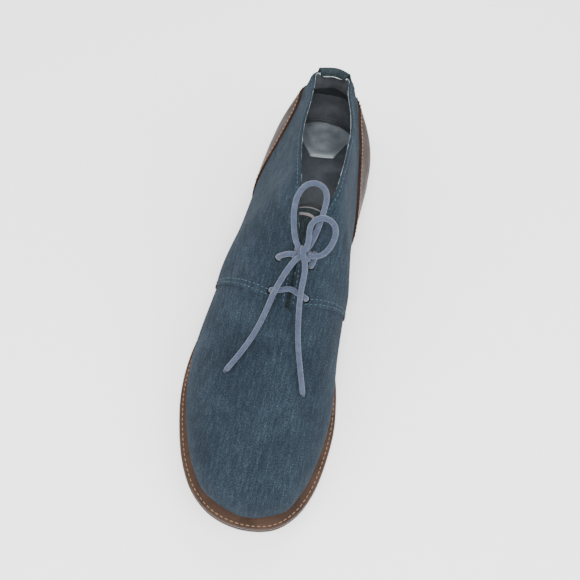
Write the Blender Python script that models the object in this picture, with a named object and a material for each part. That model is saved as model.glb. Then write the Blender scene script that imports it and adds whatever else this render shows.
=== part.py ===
"""A right chukka boot in suede with a leather heel counter, standing empty on its sole.

The toe points along -Y, the medial side is +X and the lateral side is -X. Lengths are in metres. A
distance "ahead" is measured from the back of the sole towards the toe.
"""

import math
from collections import namedtuple

import bmesh
import bpy
import numpy as np
from mathutils import Matrix, Vector

# Driving sizes of the sole
SOLE_LENGTH = 0.300
BALL_WIDTH = 0.106
HEEL_WIDTH = 0.077
HEEL_HEIGHT = 0.0235
HEEL_LENGTH = 0.078
HEEL_INSET = 0.0004
LIFT_THICKNESS = 0.007
LIFT_INSET = 0.0012
OUTSOLE_THICKNESS = 0.0055
MIDSOLE_THICKNESS = 0.0035
MIDSOLE_INSET = 0.0006
INSOLE_THICKNESS = 0.004
INSOLE_CLEARANCE = 0.0013
SOCK_THICKNESS = 0.0016
SOCK_LENGTH = 0.041
SOCK_INSET = 0.0012
TOE_SPRING = 0.009
WELT_AT_HEEL = 0.0033
WELT_AT_TOE = 0.0060

# Driving sizes of the upper
BACK_HEIGHT = 0.0970
FRONT_HEIGHT = 0.1165
THROAT_HEIGHT = 0.0996
TOE_HEIGHT = 0.0500
COLLAR_WIDTH = 0.0400
FACING_GAP = 0.0034
VAMP_WALL = 0.0018
QUARTER_STEP = 0.0010
COUNTER_THICKNESS = 0.0014
TAB_THICKNESS = 0.0015
TONGUE_THICKNESS = 0.0022
TONGUE_CLEARANCE = 0.0013
LACE_DIAMETER = 0.0031
EYELET_DIAMETER = 0.0050
LACE_CLEARANCE = 0.0009
CROSSING_LIFT = 0.0004
GAP = 0.0003
OVERLAY_GAP = 0.0005
COUNTER_CLEARANCE = 0.0008

QUARTER_WALL = VAMP_WALL + QUARTER_STEP

# Shares of the sole length: where the welt widens, and where the underside changes.
WELT_BLEND = (0.25, 0.75)
WIDTH_BLEND = (0.28, 0.56)
WAIST_BEFORE_HEEL = 0.06
WAIST_END = 0.60
SPRING_START = 0.70

# Sampling of the curved surfaces
OUTLINE_STEPS = 12
COLUMNS_PER_STATION = 2
PROFILE_STEPS = 10
COUNTER_ROWS = 11
COUNTER_COLUMNS_PER_STATION = 4
TAB_COLUMNS = 10
CORD_STEP_SHARE = 1.2
SLICES = 40
TINY = 1e-5

# The sole seen from below. Ahead is a share of the sole length, and the half widths are shares of a
# reference width that runs from the heel width to the ball width.
OutlineRow = namedtuple("OutlineRow", "ahead lateral medial")
OUTLINE = [
    OutlineRow(0.000, 0.00, 0.00),
    OutlineRow(0.010, 0.212, 0.208),
    OutlineRow(0.042, 0.381, 0.375),
    OutlineRow(0.092, 0.465, 0.466),
    OutlineRow(0.155, 0.505, 0.505),
    OutlineRow(0.235, 0.514, 0.497),
    OutlineRow(0.320, 0.506, 0.470),
    OutlineRow(0.410, 0.455, 0.408),
    OutlineRow(0.500, 0.442, 0.366),
    OutlineRow(0.590, 0.472, 0.396),
    OutlineRow(0.670, 0.500, 0.456),
    OutlineRow(0.750, 0.489, 0.488),
    OutlineRow(0.830, 0.432, 0.476),
    OutlineRow(0.900, 0.352, 0.436),
    OutlineRow(0.953, 0.248, 0.362),
    OutlineRow(0.988, 0.105, 0.245),
    OutlineRow(1.000, -0.070, 0.070),
]


def collar(share):
    """Height of the collar's edge, from its back to its highest point in front."""
    return BACK_HEIGHT + share * (FRONT_HEIGHT - BACK_HEIGHT)


def facing(share):
    """Height of the facing's edge, from the end of its opening to the collar's highest point."""
    return THROAT_HEIGHT + share * (FRONT_HEIGHT - THROAT_HEIGHT)


def ridge(share):
    """Height of the instep and vamp along the middle, from the end of the opening to the toe."""
    return THROAT_HEIGHT - share * (THROAT_HEIGHT - TOE_HEIGHT)


SLIT = 0.5 * FACING_GAP / COLLAR_WIDTH

# The upper's sections, from the back of the heel round to the tip of the toe. Feather and edge are
# shares of the sole length: where the section leaves the sole and where it ends, at the collar, the
# facing or the ridge of the vamp. Centre and half are shares of the collar width. Lean and the two
# flares are degrees from upright, at the edge and at the sole. Rise and reach are shares of the
# section's chord.
Station = namedtuple(
    "Station", "feather edge centre half height lean flare_lateral flare_medial rise reach"
)
STATIONS = [
    Station(0.000, 0.040, 0.000, 0.000, collar(0.00), 8, 8, 8, 0.36, 0.36),
    Station(0.024, 0.046, -0.022, 0.190, collar(0.00), 10, 7, 5, 0.36, 0.36),
    Station(0.078, 0.061, -0.035, 0.340, collar(0.04), 13, 5, 8, 0.36, 0.36),
    Station(0.140, 0.099, -0.010, 0.348, collar(0.06), 15, 6, 13, 0.36, 0.36),
    Station(0.210, 0.153, 0.052, 0.398, collar(0.11), 17, 13, 16, 0.36, 0.36),
    Station(0.280, 0.217, 0.092, 0.433, collar(0.31), 19, 19, 20, 0.36, 0.36),
    Station(0.345, 0.281, 0.122, 0.414, collar(0.62), 23, 25, 29, 0.36, 0.36),
    Station(0.400, 0.342, 0.160, 0.373, collar(0.89), 29, 26, 33, 0.36, 0.36),
    Station(0.450, 0.400, 0.190, 0.309, collar(1.00), 37, 25, 36, 0.36, 0.36),
    Station(0.495, 0.452, 0.152, 0.192, facing(0.62), 48, 25, 37, 0.36, 0.37),
    Station(0.535, 0.500, 0.110, SLIT, facing(0.00), 62, 23, 36, 0.36, 0.38),
    Station(0.580, 0.556, 0.122, SLIT, ridge(0.19), 74, 20, 31, 0.38, 0.38),
    Station(0.635, 0.611, 0.138, SLIT, ridge(0.36), 82, 18, 24, 0.40, 0.39),
    Station(0.695, 0.665, 0.158, 0.00, ridge(0.52), 90, 17, 19, 0.41, 0.40),
    Station(0.760, 0.720, 0.178, 0.00, ridge(0.66), 90, 15, 16, 0.42, 0.42),
    Station(0.825, 0.772, 0.196, 0.00, ridge(0.77), 90, 14, 14, 0.43, 0.44),
    Station(0.885, 0.820, 0.212, 0.00, ridge(0.86), 90, 12, 12, 0.44, 0.45),
    Station(0.935, 0.860, 0.225, 0.00, ridge(0.93), 90, 11, 10, 0.45, 0.46),
    Station(0.975, 0.888, 0.235, 0.00, ridge(0.98), 90, 10, 10, 0.46, 0.47),
    Station(1.000, 0.900, 0.240, 0.00, ridge(1.00), 90, 10, 10, 0.46, 0.47),
]
OPENING_END = 10
THROAT = 12
TOE = len(STATIONS) - 1
LOOP = 2 * TOE

# The seam in front of the quarters runs back by this many stations on its way down to the sole. The
# columns from SWEEP_START to the toe run back with it.
SEAM_SWEEP = 2.6
SWEEP_START = 6.5
SEAM_WIDTH = 0.03

# Punched eyelets: places of the upper and the lower pair, and their height on the upper.
EYELET_PLACES = (10.35, 11.45)
EYELET_SHARE = 0.905

# Wings of the counter: places along the stations, and the height of the top edge as a share of the
# counter's full height, which is itself a share of the height on the upper.
COUNTER_SHARE = 0.77
CounterRow = namedtuple("CounterRow", "place top")
COUNTER_LATERAL = [
    CounterRow(0.0, 1.00),
    CounterRow(2.0, 1.00),
    CounterRow(3.0, 0.99),
    CounterRow(3.5, 0.88),
    CounterRow(4.0, 0.77),
    CounterRow(4.5, 0.59),
    CounterRow(5.0, 0.16),
]
COUNTER_MEDIAL = [
    CounterRow(0.0, 1.00),
    CounterRow(2.0, 0.96),
    CounterRow(3.0, 0.88),
    CounterRow(3.5, 0.84),
    CounterRow(4.5, 0.77),
    CounterRow(5.0, 0.65),
    CounterRow(5.5, 0.40),
    CounterRow(6.0, 0.12),
]

# The heel tab: its half width in stations, and how far it hangs outside and inside as a share of
# the height on the upper.
TAB_STATIONS = 1.35
TAB_OUTSIDE_SHARE = 0.20
TAB_INSIDE_SHARE = 0.03

# The tongue under the facings, from its root under the vamp to its top edge: places along the
# stations, the height on each side where it stops, and how far its middle drops below the facings,
# as a share of the facings' rise.
TongueRow = namedtuple("TongueRow", "place side drop")
TONGUE = [
    TongueRow(13.0, 0.84, 0.0),
    TongueRow(12.0, 0.82, 0.0),
    TongueRow(11.0, 0.81, 0.0),
    TongueRow(10.5, 0.80, 0.0),
    TongueRow(10.0, 0.80, 0.0),
    TongueRow(9.5, 0.79, 0.05),
    TongueRow(9.0, 0.79, 0.15),
    TongueRow(8.6, 0.80, 0.24),
]

# The lace, chosen by hand. The knot lies on the opening's end, moved by KNOT_OFFSET. The routes of
# the two loops are shares of LOOP_REACH from the knot: medially, ahead and up. The two ends lie on
# the upper, at a place, a height and a lift over it in lace diameters.
LOOP_REACH = 0.040
KNOT_OFFSET = (0.0030, 0.0072, 0.0022)
KNOT_RADII = (0.0057, 0.0044, 0.0038)
BACK_LOOP = [
    (-0.23, -0.38, 0.22),
    (-0.26, -0.52, 0.30),
    (-0.26, -0.68, 0.37),
    (-0.20, -0.87, 0.41),
    (-0.05, -0.96, 0.43),
    (0.13, -0.89, 0.41),
    (0.17, -0.73, 0.38),
    (0.16, -0.56, 0.33),
    (0.15, -0.41, 0.26),
]
MEDIAL_LOOP = [
    (0.04, -0.17, 0.26),
    (0.01, -0.30, 0.36),
    (0.12, -0.42, 0.40),
    (0.19, -0.43, 0.41),
    (0.32, -0.42, 0.37),
    (0.41, -0.32, 0.30),
    (0.39, -0.17, 0.19),
    (0.34, -0.06, 0.11),
    (0.27, 0.00, 0.05),
]
LATERAL_END = [
    (11.45, 0.950, 1.30),
    (12.15, 0.905, 0.35),
    (12.85, 0.845, 0.0),
    (13.50, 0.775, 0.0),
    (14.05, 0.690, 0.0),
]
MEDIAL_END = [
    (LOOP - 11.45, 0.965, 1.35),
    (LOOP - 12.15, 0.935, 0.40),
    (LOOP - 12.90, 0.885, 0.0),
    (LOOP - 13.60, 0.830, 0.0),
    (LOOP - 14.30, 0.765, 0.0),
]

# Directions in which the cords leave the knot: medially, ahead and up.
LEAVE_BACK_LOOP = ((-0.70, -0.60, 0.45), (0.45, -0.85, 0.10))
LEAVE_MEDIAL_LOOP = ((0.35, -0.35, 0.90), (0.90, 0.15, 0.15))
LEAVE_STRANDS = ((-0.95, 0.10, -0.25), (0.85, -0.35, -0.40))
LEAVE_LATERAL_END = (-0.55, 0.85, 0.0)
LEAVE_MEDIAL_END = (0.45, 0.90, 0.0)

SUEDE = (0.045, 0.075, 0.115, 1.0)
TONGUE_SUEDE = (0.020, 0.040, 0.055, 1.0)
BROWN = (0.050, 0.024, 0.016, 1.0)
DARK_BROWN = (0.022, 0.013, 0.010, 1.0)
LINING = (0.050, 0.055, 0.070, 1.0)
LACE = (0.150, 0.180, 0.280, 1.0)
RUBBER = (0.010, 0.010, 0.010, 1.0)


def smoothstep(low, high, value):
    share = np.clip((value - low) / (high - low), 0.0, 1.0)
    return share * share * (3 - 2 * share)


def cyclic_spline(points, place):
    """A closed smooth curve through the points, at places counted in points."""
    points = np.asarray(points, float)
    place = np.asarray(place, float)
    count = len(points)
    first = np.floor(place).astype(int)
    share = (place - first).reshape(place.shape + (1,) * (points.ndim - 1))
    before, here, after, beyond = (points[(first + step) % count] for step in (-1, 0, 1, 2))
    return here + 0.5 * share * (
        after
        - before
        + share
        * (
            2 * before
            - 5 * here
            + 4 * after
            - beyond
            + share * (3 * (here - after) + beyond - before)
        )
    )


def reference_width(ahead_share):
    blend = smoothstep(*WIDTH_BLEND, ahead_share)
    return HEEL_WIDTH + (BALL_WIDTH - HEEL_WIDTH) * blend


def sole_outline():
    """Closed outline as (x, ahead), from the heel along the lateral side to the toe and back."""
    lateral = [(-row.lateral * reference_width(row.ahead), row.ahead * SOLE_LENGTH) for row in OUTLINE]
    medial = [(row.medial * reference_width(row.ahead), row.ahead * SOLE_LENGTH) for row in OUTLINE]
    points = lateral + medial[-2:0:-1]
    return cyclic_spline(points, np.arange(0, len(points), 1 / OUTLINE_STEPS))


def inset_outline(heel_inset, toe_inset):
    """The sole's outline moved inwards, by a margin that changes from the heel to the toe."""
    outline = sole_outline()
    tangent = np.roll(outline, -1, axis=0) - np.roll(outline, 1, axis=0)
    inward = np.stack([tangent[:, 1], -tangent[:, 0]], axis=1)
    inward /= np.linalg.norm(inward, axis=1, keepdims=True)
    ahead_share = outline[:, 1] / SOLE_LENGTH
    margin = heel_inset + (toe_inset - heel_inset) * smoothstep(*WELT_BLEND, ahead_share)
    return outline + inward * margin[:, None]


def sides(outline):
    """The lateral and medial halves of an outline, each from its heel end to its toe end."""
    back, front = np.argmin(outline[:, 1]), np.argmax(outline[:, 1])
    turned = np.roll(outline, -back, axis=0)
    middle = (front - back) % len(outline)
    lateral = turned[: middle + 1]
    medial = np.vstack([turned[middle:], turned[:1]])[::-1]
    return lateral, medial


def side_x(side, ahead):
    return np.interp(ahead, side[:, 1], side[:, 0])


def world_y(ahead):
    return SOLE_LENGTH / 2 - ahead


def middle_x():
    """Where the middle of the sole's box lies, so that the boot's origin can be put there."""
    outline = sole_outline()
    return (outline[:, 0].min() + outline[:, 0].max()) / 2


def sole_underside(ahead):
    """Height of the outsole's underside: heel seat, waist, flat tread under the ball, toe spring."""
    share = np.asarray(ahead) / SOLE_LENGTH
    heel_front = HEEL_LENGTH / SOLE_LENGTH - WAIST_BEFORE_HEEL
    waist = HEEL_HEIGHT * (1 - smoothstep(heel_front, WAIST_END, share))
    spring = TOE_SPRING * np.clip((share - SPRING_START) / (1 - SPRING_START), 0, 1) ** 2
    return waist + spring


def midsole_top(ahead):
    return sole_underside(ahead) + OUTSOLE_THICKNESS + MIDSOLE_THICKNESS + GAP


def ridge_slope(index):
    """Rise of the vamp's ridge per metre ahead, at one station."""
    before, after = STATIONS[max(index - 1, THROAT)], STATIONS[min(index + 1, TOE)]
    return (after.height - before.height) / ((after.edge - before.edge) * SOLE_LENGTH)


def section_controls(index, side, feather_side):
    """The four Bezier points (x, ahead, z) of one section, from the sole up to its edge."""
    row = STATIONS[index]
    if index == 0:
        foot_x, foot_ahead = feather_side[0]
    elif index == TOE:
        foot_x, foot_ahead = feather_side[-1]
    else:
        reach_ahead = feather_side[-1, 1] - feather_side[0, 1]
        foot_ahead = feather_side[0, 1] + row.feather * reach_ahead
        foot_x = side_x(feather_side, foot_ahead)
    foot = np.array([foot_x, foot_ahead, midsole_top(foot_ahead) + GAP])
    edge_x = COLLAR_WIDTH * (row.centre + side * row.half)
    edge = np.array([edge_x, row.edge * SOLE_LENGTH, row.height])
    outward = np.array([foot[0] - edge[0], foot[1] - edge[1], 0.0])
    outward /= np.linalg.norm(outward)
    chord = np.linalg.norm(edge - foot)
    flare = math.radians(row.flare_lateral if side < 0 else row.flare_medial)
    lean = math.radians(row.lean)
    upward = np.array([0.0, 0.0, 1.0])
    low = foot + row.rise * chord * (outward * math.sin(flare) + upward * math.cos(flare))
    reach = outward * math.sin(lean) - upward * math.cos(lean)
    if index > THROAT:
        reach[2] += ridge_slope(index) * reach[1]
    return np.array([foot, low, edge + row.reach * chord * reach, edge])


def section_loop():
    """Sections in a closed ring: heel, lateral side, toe, medial side."""
    lateral, medial = sides(inset_outline(WELT_AT_HEEL, WELT_AT_TOE))
    ring = [section_controls(index, -1, lateral) for index in range(TOE + 1)]
    ring += [section_controls(index, 1, medial) for index in range(TOE - 1, 0, -1)]
    return np.array(ring)


RING = section_loop()
MIDDLE = middle_x()


def folded_place(place):
    """The place on the lateral side that stands for a place anywhere round the ring."""
    return np.minimum(place % LOOP, LOOP - place % LOOP)


def in_vamp(place):
    """True ahead of the throat, where both sides end on the ridge."""
    return folded_place(place) > THROAT + TINY


def bare_surface(place, height):
    """Points (x, ahead, z) of the upper's outer face. Place counts stations, height goes 0 to 1."""
    controls = cyclic_spline(RING, place)
    height = np.asarray(height)[..., None]
    rest = 1 - height
    return (
        rest**3 * controls[..., 0, :]
        + 3 * rest**2 * height * controls[..., 1, :]
        + 3 * rest * height**2 * controls[..., 2, :]
        + height**3 * controls[..., 3, :]
    )


def outward_normal(place, height):
    step = 0.01
    height = np.clip(height, step, 0.985)
    along = bare_surface(place + 3 * step, height) - bare_surface(place - 3 * step, height)
    up = bare_surface(place, height + step) - bare_surface(place, height - step)
    normal = np.cross(up, along)
    return normal / np.linalg.norm(normal, axis=-1, keepdims=True)


def upper_surface(place, height, offset):
    """World points on a face parallel to the upper's outer face, offset outwards."""
    place, height, offset = np.broadcast_arrays(
        np.asarray(place, float), np.asarray(height, float), np.asarray(offset, float)
    )
    points = bare_surface(place, height) + outward_normal(place, height) * offset[..., None]
    other = bare_surface(LOOP - place, height) + (
        outward_normal(LOOP - place, height) * offset[..., None]
    )
    joined = (in_vamp(place) & (height > 1 - TINY))[..., None]
    points = np.where(joined, (points + other) / 2, points)
    world = np.empty_like(points)
    world[..., 0] = points[..., 0] - MIDDLE
    world[..., 1] = world_y(points[..., 1])
    world[..., 2] = np.maximum(points[..., 2], midsole_top(points[..., 1]) + GAP)
    return world


def new_material(name, colour, roughness):
    material = bpy.data.materials.new(name)
    material.use_nodes = True
    shader = material.node_tree.nodes["Principled BSDF"]
    shader.inputs["Base Color"].default_value = colour
    shader.inputs["Roughness"].default_value = roughness
    return material


def new_object(name, mesh, material, smooth_degrees=40):
    mesh.materials.append(material)
    mesh.shade_smooth()
    mesh.set_sharp_from_angle(angle=math.radians(smooth_degrees))
    made = bpy.data.objects.new(name, mesh)
    bpy.data.collections["chukka_boot"].objects.link(made)
    return made


def mesh_from_faces(name, points, faces):
    """One closed mesh: equal points are merged, and each face keeps its own corners only."""
    mesh = bpy.data.meshes.new(name)
    shape = bmesh.new()
    corners = [shape.verts.new(point) for point in points]
    for face in faces:
        shape.faces.new([corners[index] for index in face])
    bmesh.ops.remove_doubles(shape, verts=shape.verts, dist=TINY)
    bmesh.ops.dissolve_degenerate(shape, edges=shape.edges, dist=TINY / 2)
    bmesh.ops.recalc_face_normals(shape, faces=shape.faces)
    shape.to_mesh(mesh)
    shape.free()
    return mesh


def loft(name, loops, material, closed=False, smooth_degrees=40):
    """A solid through loops of equally many points, capped unless its loops run in a ring."""
    loops = [np.asarray(loop) for loop in loops]
    size = len(loops[0])
    faces = []
    for index in range(len(loops) if closed else len(loops) - 1):
        here, there = index * size, (index + 1) % len(loops) * size
        for corner in range(size):
            after = (corner + 1) % size
            faces.append((here + corner, here + after, there + after, there + corner))
    if not closed:
        faces.append(tuple(range(size)))
        faces.append(tuple(range((len(loops) - 1) * size, len(loops) * size)))
    mesh = mesh_from_faces(name, np.vstack(loops), faces)
    return new_object(name, mesh, material, smooth_degrees)


def plate(name, outline, underside, thickness, material, stop=None):
    """A sole layer: slices across the outline, whose heights follow the underside function."""
    lateral, medial = sides(outline)
    back = lateral[0, 1]
    front = lateral[-1, 1] if stop is None else stop
    loops = []
    for index in range(SLICES + 1):
        ahead = back + (front - back) * (1 - math.cos(math.pi * index / SLICES)) / 2
        low = float(underside(ahead))
        high = low + float(thickness(ahead)) if callable(thickness) else low + thickness
        left, right = side_x(lateral, ahead) - MIDDLE, side_x(medial, ahead) - MIDDLE
        if right - left < 20 * TINY:
            left = right = (left + right) / 2
        y = world_y(ahead)
        loops.append([(left, y, low), (right, y, low), (right, y, high), (left, y, high)])
    return loft(name, loops, material, smooth_degrees=30)


def build_sole(materials):
    plate(
        "outsole",
        inset_outline(0.0, 0.0),
        sole_underside,
        OUTSOLE_THICKNESS,
        materials["sole"],
    )
    plate(
        "midsole",
        inset_outline(MIDSOLE_INSET, MIDSOLE_INSET),
        lambda ahead: sole_underside(ahead) + OUTSOLE_THICKNESS + GAP,
        MIDSOLE_THICKNESS,
        materials["welt"],
    )
    plate(
        "heel",
        inset_outline(HEEL_INSET, HEEL_INSET),
        lambda ahead: LIFT_THICKNESS + GAP,
        lambda ahead: sole_underside(ahead) - LIFT_THICKNESS - 2 * GAP,
        materials["sole"],
        stop=HEEL_LENGTH,
    )
    plate(
        "heel_lift",
        inset_outline(LIFT_INSET, LIFT_INSET),
        lambda ahead: 0.0,
        LIFT_THICKNESS,
        materials["rubber"],
        stop=HEEL_LENGTH - LIFT_INSET,
    )


def build_insole(materials):
    margin = QUARTER_WALL + INSOLE_CLEARANCE
    plate(
        "insole",
        inset_outline(WELT_AT_HEEL + margin, WELT_AT_TOE + margin),
        lambda ahead: midsole_top(ahead) + GAP,
        INSOLE_THICKNESS,
        materials["lining"],
    )
    margin += SOCK_INSET
    plate(
        "heel_sock",
        inset_outline(WELT_AT_HEEL + margin, WELT_AT_TOE + margin),
        lambda ahead: midsole_top(ahead) + INSOLE_THICKNESS + 2 * GAP,
        SOCK_THICKNESS,
        materials["pad"],
        stop=SOCK_LENGTH,
    )


def upper_columns():
    """Columns round the upper and the step of the wall at each. The seam has a column on each side."""
    behind = np.arange(0, THROAT + TINY, 1 / COLUMNS_PER_STATION)
    ahead = np.arange(THROAT, TOE + TINY, 1 / COLUMNS_PER_STATION)
    ahead[0] += SEAM_WIDTH
    lateral = [(column, 0.0) for column in behind] + [(column, -QUARTER_STEP) for column in ahead]
    medial = [(LOOP - column, step) for column, step in lateral[-2:0:-1]]
    return lateral + medial


def swept(column, height):
    """Place of a point on one column. The columns near the seam run back on their way down."""
    folded = folded_place(column)
    share = smoothstep(SWEEP_START, THROAT, folded) * (1 - smoothstep(THROAT, TOE, folded))
    back = SEAM_SWEEP * share * (1 - height)
    return np.where(column <= TOE, column - back, column + back)


def build_upper(materials):
    columns = upper_columns()
    steps = np.array([step for _, step in columns])[:, None]
    heights = np.linspace(0, 1, PROFILE_STEPS + 1)[None, :]
    places = swept(np.array([column for column, _ in columns])[:, None], heights)
    outer = upper_surface(places, heights, steps)
    inner = upper_surface(places, heights, -QUARTER_WALL)
    count, rows = len(columns), PROFILE_STEPS + 1
    faces = []
    for index in range(count):
        after = (index + 1) % count
        for row in range(PROFILE_STEPS):
            here, there = index * rows + row, after * rows + row
            ring = (here, there, there + 1, here + 1)
            faces.append(ring)
            faces.append(tuple(count * rows + corner for corner in reversed(ring)))
        for row in (0, PROFILE_STEPS):
            if row and in_vamp(columns[index][0]) and in_vamp(columns[after][0]):
                continue
            here, there = index * rows + row, after * rows + row
            faces.append((here, there, count * rows + there, count * rows + here))
    points = np.vstack([outer.reshape(-1, 3), inner.reshape(-1, 3)])
    mesh = mesh_from_faces("upper", points, faces)
    return new_object("upper", mesh, materials["suede"], 50)


def counter_top(place):
    """Height of the counter's top edge, as a height on the upper, at a place round the ring."""
    if place > TOE:
        table, folded = COUNTER_MEDIAL, LOOP - place
    else:
        table, folded = COUNTER_LATERAL, place
    rows = [row.place for row in table], [row.top for row in table]
    return COUNTER_SHARE * np.interp(folded, *rows)


def build_counter(materials):
    step = 1 / COUNTER_COLUMNS_PER_STATION
    first, last = -COUNTER_MEDIAL[-1].place, COUNTER_LATERAL[-1].place
    loops = []
    for place in np.arange(first, last + TINY, step):
        heights = np.linspace(0.0, counter_top(place % LOOP), COUNTER_ROWS)
        outer = upper_surface(place, heights, COUNTER_CLEARANCE + COUNTER_THICKNESS)
        inner = upper_surface(place, heights, COUNTER_CLEARANCE)
        loops.append(np.vstack([outer, inner[::-1]]))
    return loft("counter", loops, materials["brown"])


def build_heel_tab(materials):
    """A strip folded over the topline at the back."""
    outside, inside = OVERLAY_GAP + TAB_THICKNESS, -(QUARTER_WALL + OVERLAY_GAP + TAB_THICKNESS)
    loops = []
    for place in np.linspace(-TAB_STATIONS, TAB_STATIONS, TAB_COLUMNS + 1):
        top = upper_surface(place, 1.0, 0.0)
        below = upper_surface(place, 0.98, 0.0)
        upward = (top - below) / np.linalg.norm(top - below)
        fold = upward * (OVERLAY_GAP + TAB_THICKNESS)
        clear = upward * OVERLAY_GAP
        loops.append(
            [
                upper_surface(place, 1 - TAB_OUTSIDE_SHARE, OVERLAY_GAP),
                upper_surface(place, 1 - TAB_OUTSIDE_SHARE, outside),
                upper_surface(place, 1 - TAB_OUTSIDE_SHARE / 2, outside),
                upper_surface(place, 1.0, outside),
                upper_surface(place, 1.0, outside - TAB_THICKNESS / 2) + fold * 0.9,
                upper_surface(place, 1.0, inside + TAB_THICKNESS / 2) + fold * 0.9,
                upper_surface(place, 1.0, inside),
                upper_surface(place, 1 - TAB_INSIDE_SHARE, inside),
                upper_surface(place, 1 - TAB_INSIDE_SHARE, inside + TAB_THICKNESS),
                upper_surface(place, 1.0, inside + TAB_THICKNESS) + clear,
                upper_surface(place, 1.0, OVERLAY_GAP) + clear,
                upper_surface(place, 1 - TAB_OUTSIDE_SHARE / 2, OVERLAY_GAP),
            ]
        )
    return loft("heel_tab", loops, materials["suede"], smooth_degrees=50)


def tongue_arc(row, offset):
    """Points across the tongue, lateral to medial, at one depth under the upper's outer face."""
    lateral = upper_surface(row.place, np.array([row.side, (1 + row.side) / 2, 1.0]), offset)
    medial = upper_surface(LOOP - row.place, np.array([1.0, (1 + row.side) / 2, row.side]), offset)
    middle = (lateral[2] + medial[0]) / 2
    middle[2] -= row.drop * (FRONT_HEIGHT - THROAT_HEIGHT)
    return np.array([lateral[0], lateral[1], middle, medial[1], medial[2]])


def smooth_through(points, steps):
    """Points of an open smooth curve through the given ones."""
    points = np.asarray(points, float)
    ends = np.vstack([2 * points[0] - points[1], points, 2 * points[-1] - points[-2]])
    places = np.linspace(0, len(points) - 1 - 1e-9, (len(points) - 1) * steps + 1)
    return cyclic_spline(ends, places + 1)


def build_tongue(materials):
    top = -(QUARTER_WALL + TONGUE_CLEARANCE)
    loops = []
    for row in TONGUE:
        face = smooth_through(tongue_arc(row, top), 2)
        back = smooth_through(tongue_arc(row, top - TONGUE_THICKNESS), 2)
        loops.append(np.vstack([face, back[::-1]]))
    return loft("tongue", loops, materials["tongue"], smooth_degrees=50)


def eyelets():
    """Centre and outward direction of each punched hole, lateral then medial, upper pair first."""
    found = []
    for place in EYELET_PLACES:
        for side_place in (place, LOOP - place):
            centre = upper_surface(side_place, EYELET_SHARE, -QUARTER_WALL / 2)
            outside = upper_surface(side_place, EYELET_SHARE, QUARTER_WALL)
            found.append((centre, (outside - centre) / np.linalg.norm(outside - centre)))
    return found


def punch_eyelets(upper):
    cutters = bpy.data.collections.new("cutters")
    bpy.context.scene.collection.children.link(cutters)
    for centre, direction in eyelets():
        bpy.ops.mesh.primitive_cylinder_add(
            vertices=12, radius=EYELET_DIAMETER / 2, depth=6 * QUARTER_WALL
        )
        cutter = bpy.context.object
        cutter.name = "eyelet_cutter"
        cutter.location = centre
        cutter.rotation_euler = Vector(direction).to_track_quat("Z", "Y").to_euler()
        cutter.hide_render = True
        cutter.display_type = "WIRE"
        for used in list(cutter.users_collection):
            used.objects.unlink(cutter)
        cutters.objects.link(cutter)
        cut = upper.modifiers.new("eyelet", "BOOLEAN")
        cut.operation = "DIFFERENCE"
        cut.object = cutter


def cord(name, points, material):
    """A round cord as a tube on a POLY spline of even steps."""
    fine = smooth_through(points, 12)
    lengths = np.concatenate([[0], np.cumsum(np.linalg.norm(np.diff(fine, axis=0), axis=1))])
    count = max(4, int(lengths[-1] / (CORD_STEP_SHARE * LACE_DIAMETER)))
    even = np.linspace(0, lengths[-1], count + 1)
    path = np.stack([np.interp(even, lengths, fine[:, axis]) for axis in range(3)], axis=1)
    curve = bpy.data.curves.new(name, "CURVE")
    curve.dimensions = "3D"
    curve.bevel_depth = LACE_DIAMETER / 2
    curve.bevel_resolution = 2
    curve.use_fill_caps = True
    spline = curve.splines.new("POLY")
    spline.points.add(len(path) - 1)
    for point, place in zip(spline.points, path):
        point.co = (*place, 1.0)
    curve.materials.append(material)
    made = bpy.data.objects.new(name, curve)
    bpy.data.collections["chukka_boot"].objects.link(made)
    return made


def on_upper(place, height, lift=0.0):
    """A cord's centre where it lies on the upper, lifted by a number of its diameters."""
    seam = THROAT - SEAM_SWEEP * (1 - height)
    step = QUARTER_STEP if folded_place(place) > seam else 0.0
    clear = LACE_DIAMETER / 2 + LACE_CLEARANCE + lift * LACE_DIAMETER
    return upper_surface(place, height, clear - step)


def knot_centre():
    """The knot's centre, above the end of the collar's opening."""
    sides_end = upper_surface(np.array([OPENING_END, LOOP - OPENING_END]), 1.0, 0.0)
    medially, ahead, up = KNOT_OFFSET
    return sides_end.mean(axis=0) + np.array([medially, -ahead, up])


def near_knot(medially, ahead, up):
    """World point of a loop's route, from its shares of LOOP_REACH."""
    return knot_centre() + LOOP_REACH * np.array([medially, -ahead, up])


def knot_exit(direction):
    """Where a cord leaves the knot in a direction (medially, ahead, up), and a point further out."""
    heading = np.array([direction[0], -direction[1], direction[2]], float)
    heading /= np.linalg.norm(heading)
    radius = OVERLAY_GAP + 1 / np.linalg.norm(heading / np.array(KNOT_RADII))
    return [knot_centre() + heading * reach for reach in (radius, radius + LACE_DIAMETER)]


def loop_route(leave, route):
    """A loop that leaves the knot in one direction and comes back from the other."""
    return knot_exit(leave[0]) + [near_knot(*point) for point in route] + knot_exit(leave[1])[::-1]


def build_crossing(material):
    """The lace over both facings, between the lower eyelets."""
    place = EYELET_PLACES[1]
    half_way = (1 + EYELET_SHARE) / 2
    lift = CROSSING_LIFT / LACE_DIAMETER
    edges = upper_surface(np.array([place, LOOP - place]), 1.0, 0.0)
    middle = edges.mean(axis=0)
    middle[2] += LACE_DIAMETER / 2 + LACE_CLEARANCE + 2 * CROSSING_LIFT
    route = [
        on_upper(place, EYELET_SHARE, lift),
        on_upper(place, half_way, lift),
        middle,
        on_upper(LOOP - place, half_way, lift),
        on_upper(LOOP - place, EYELET_SHARE, lift),
    ]
    cord("lace_crossing", route, material)


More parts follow.
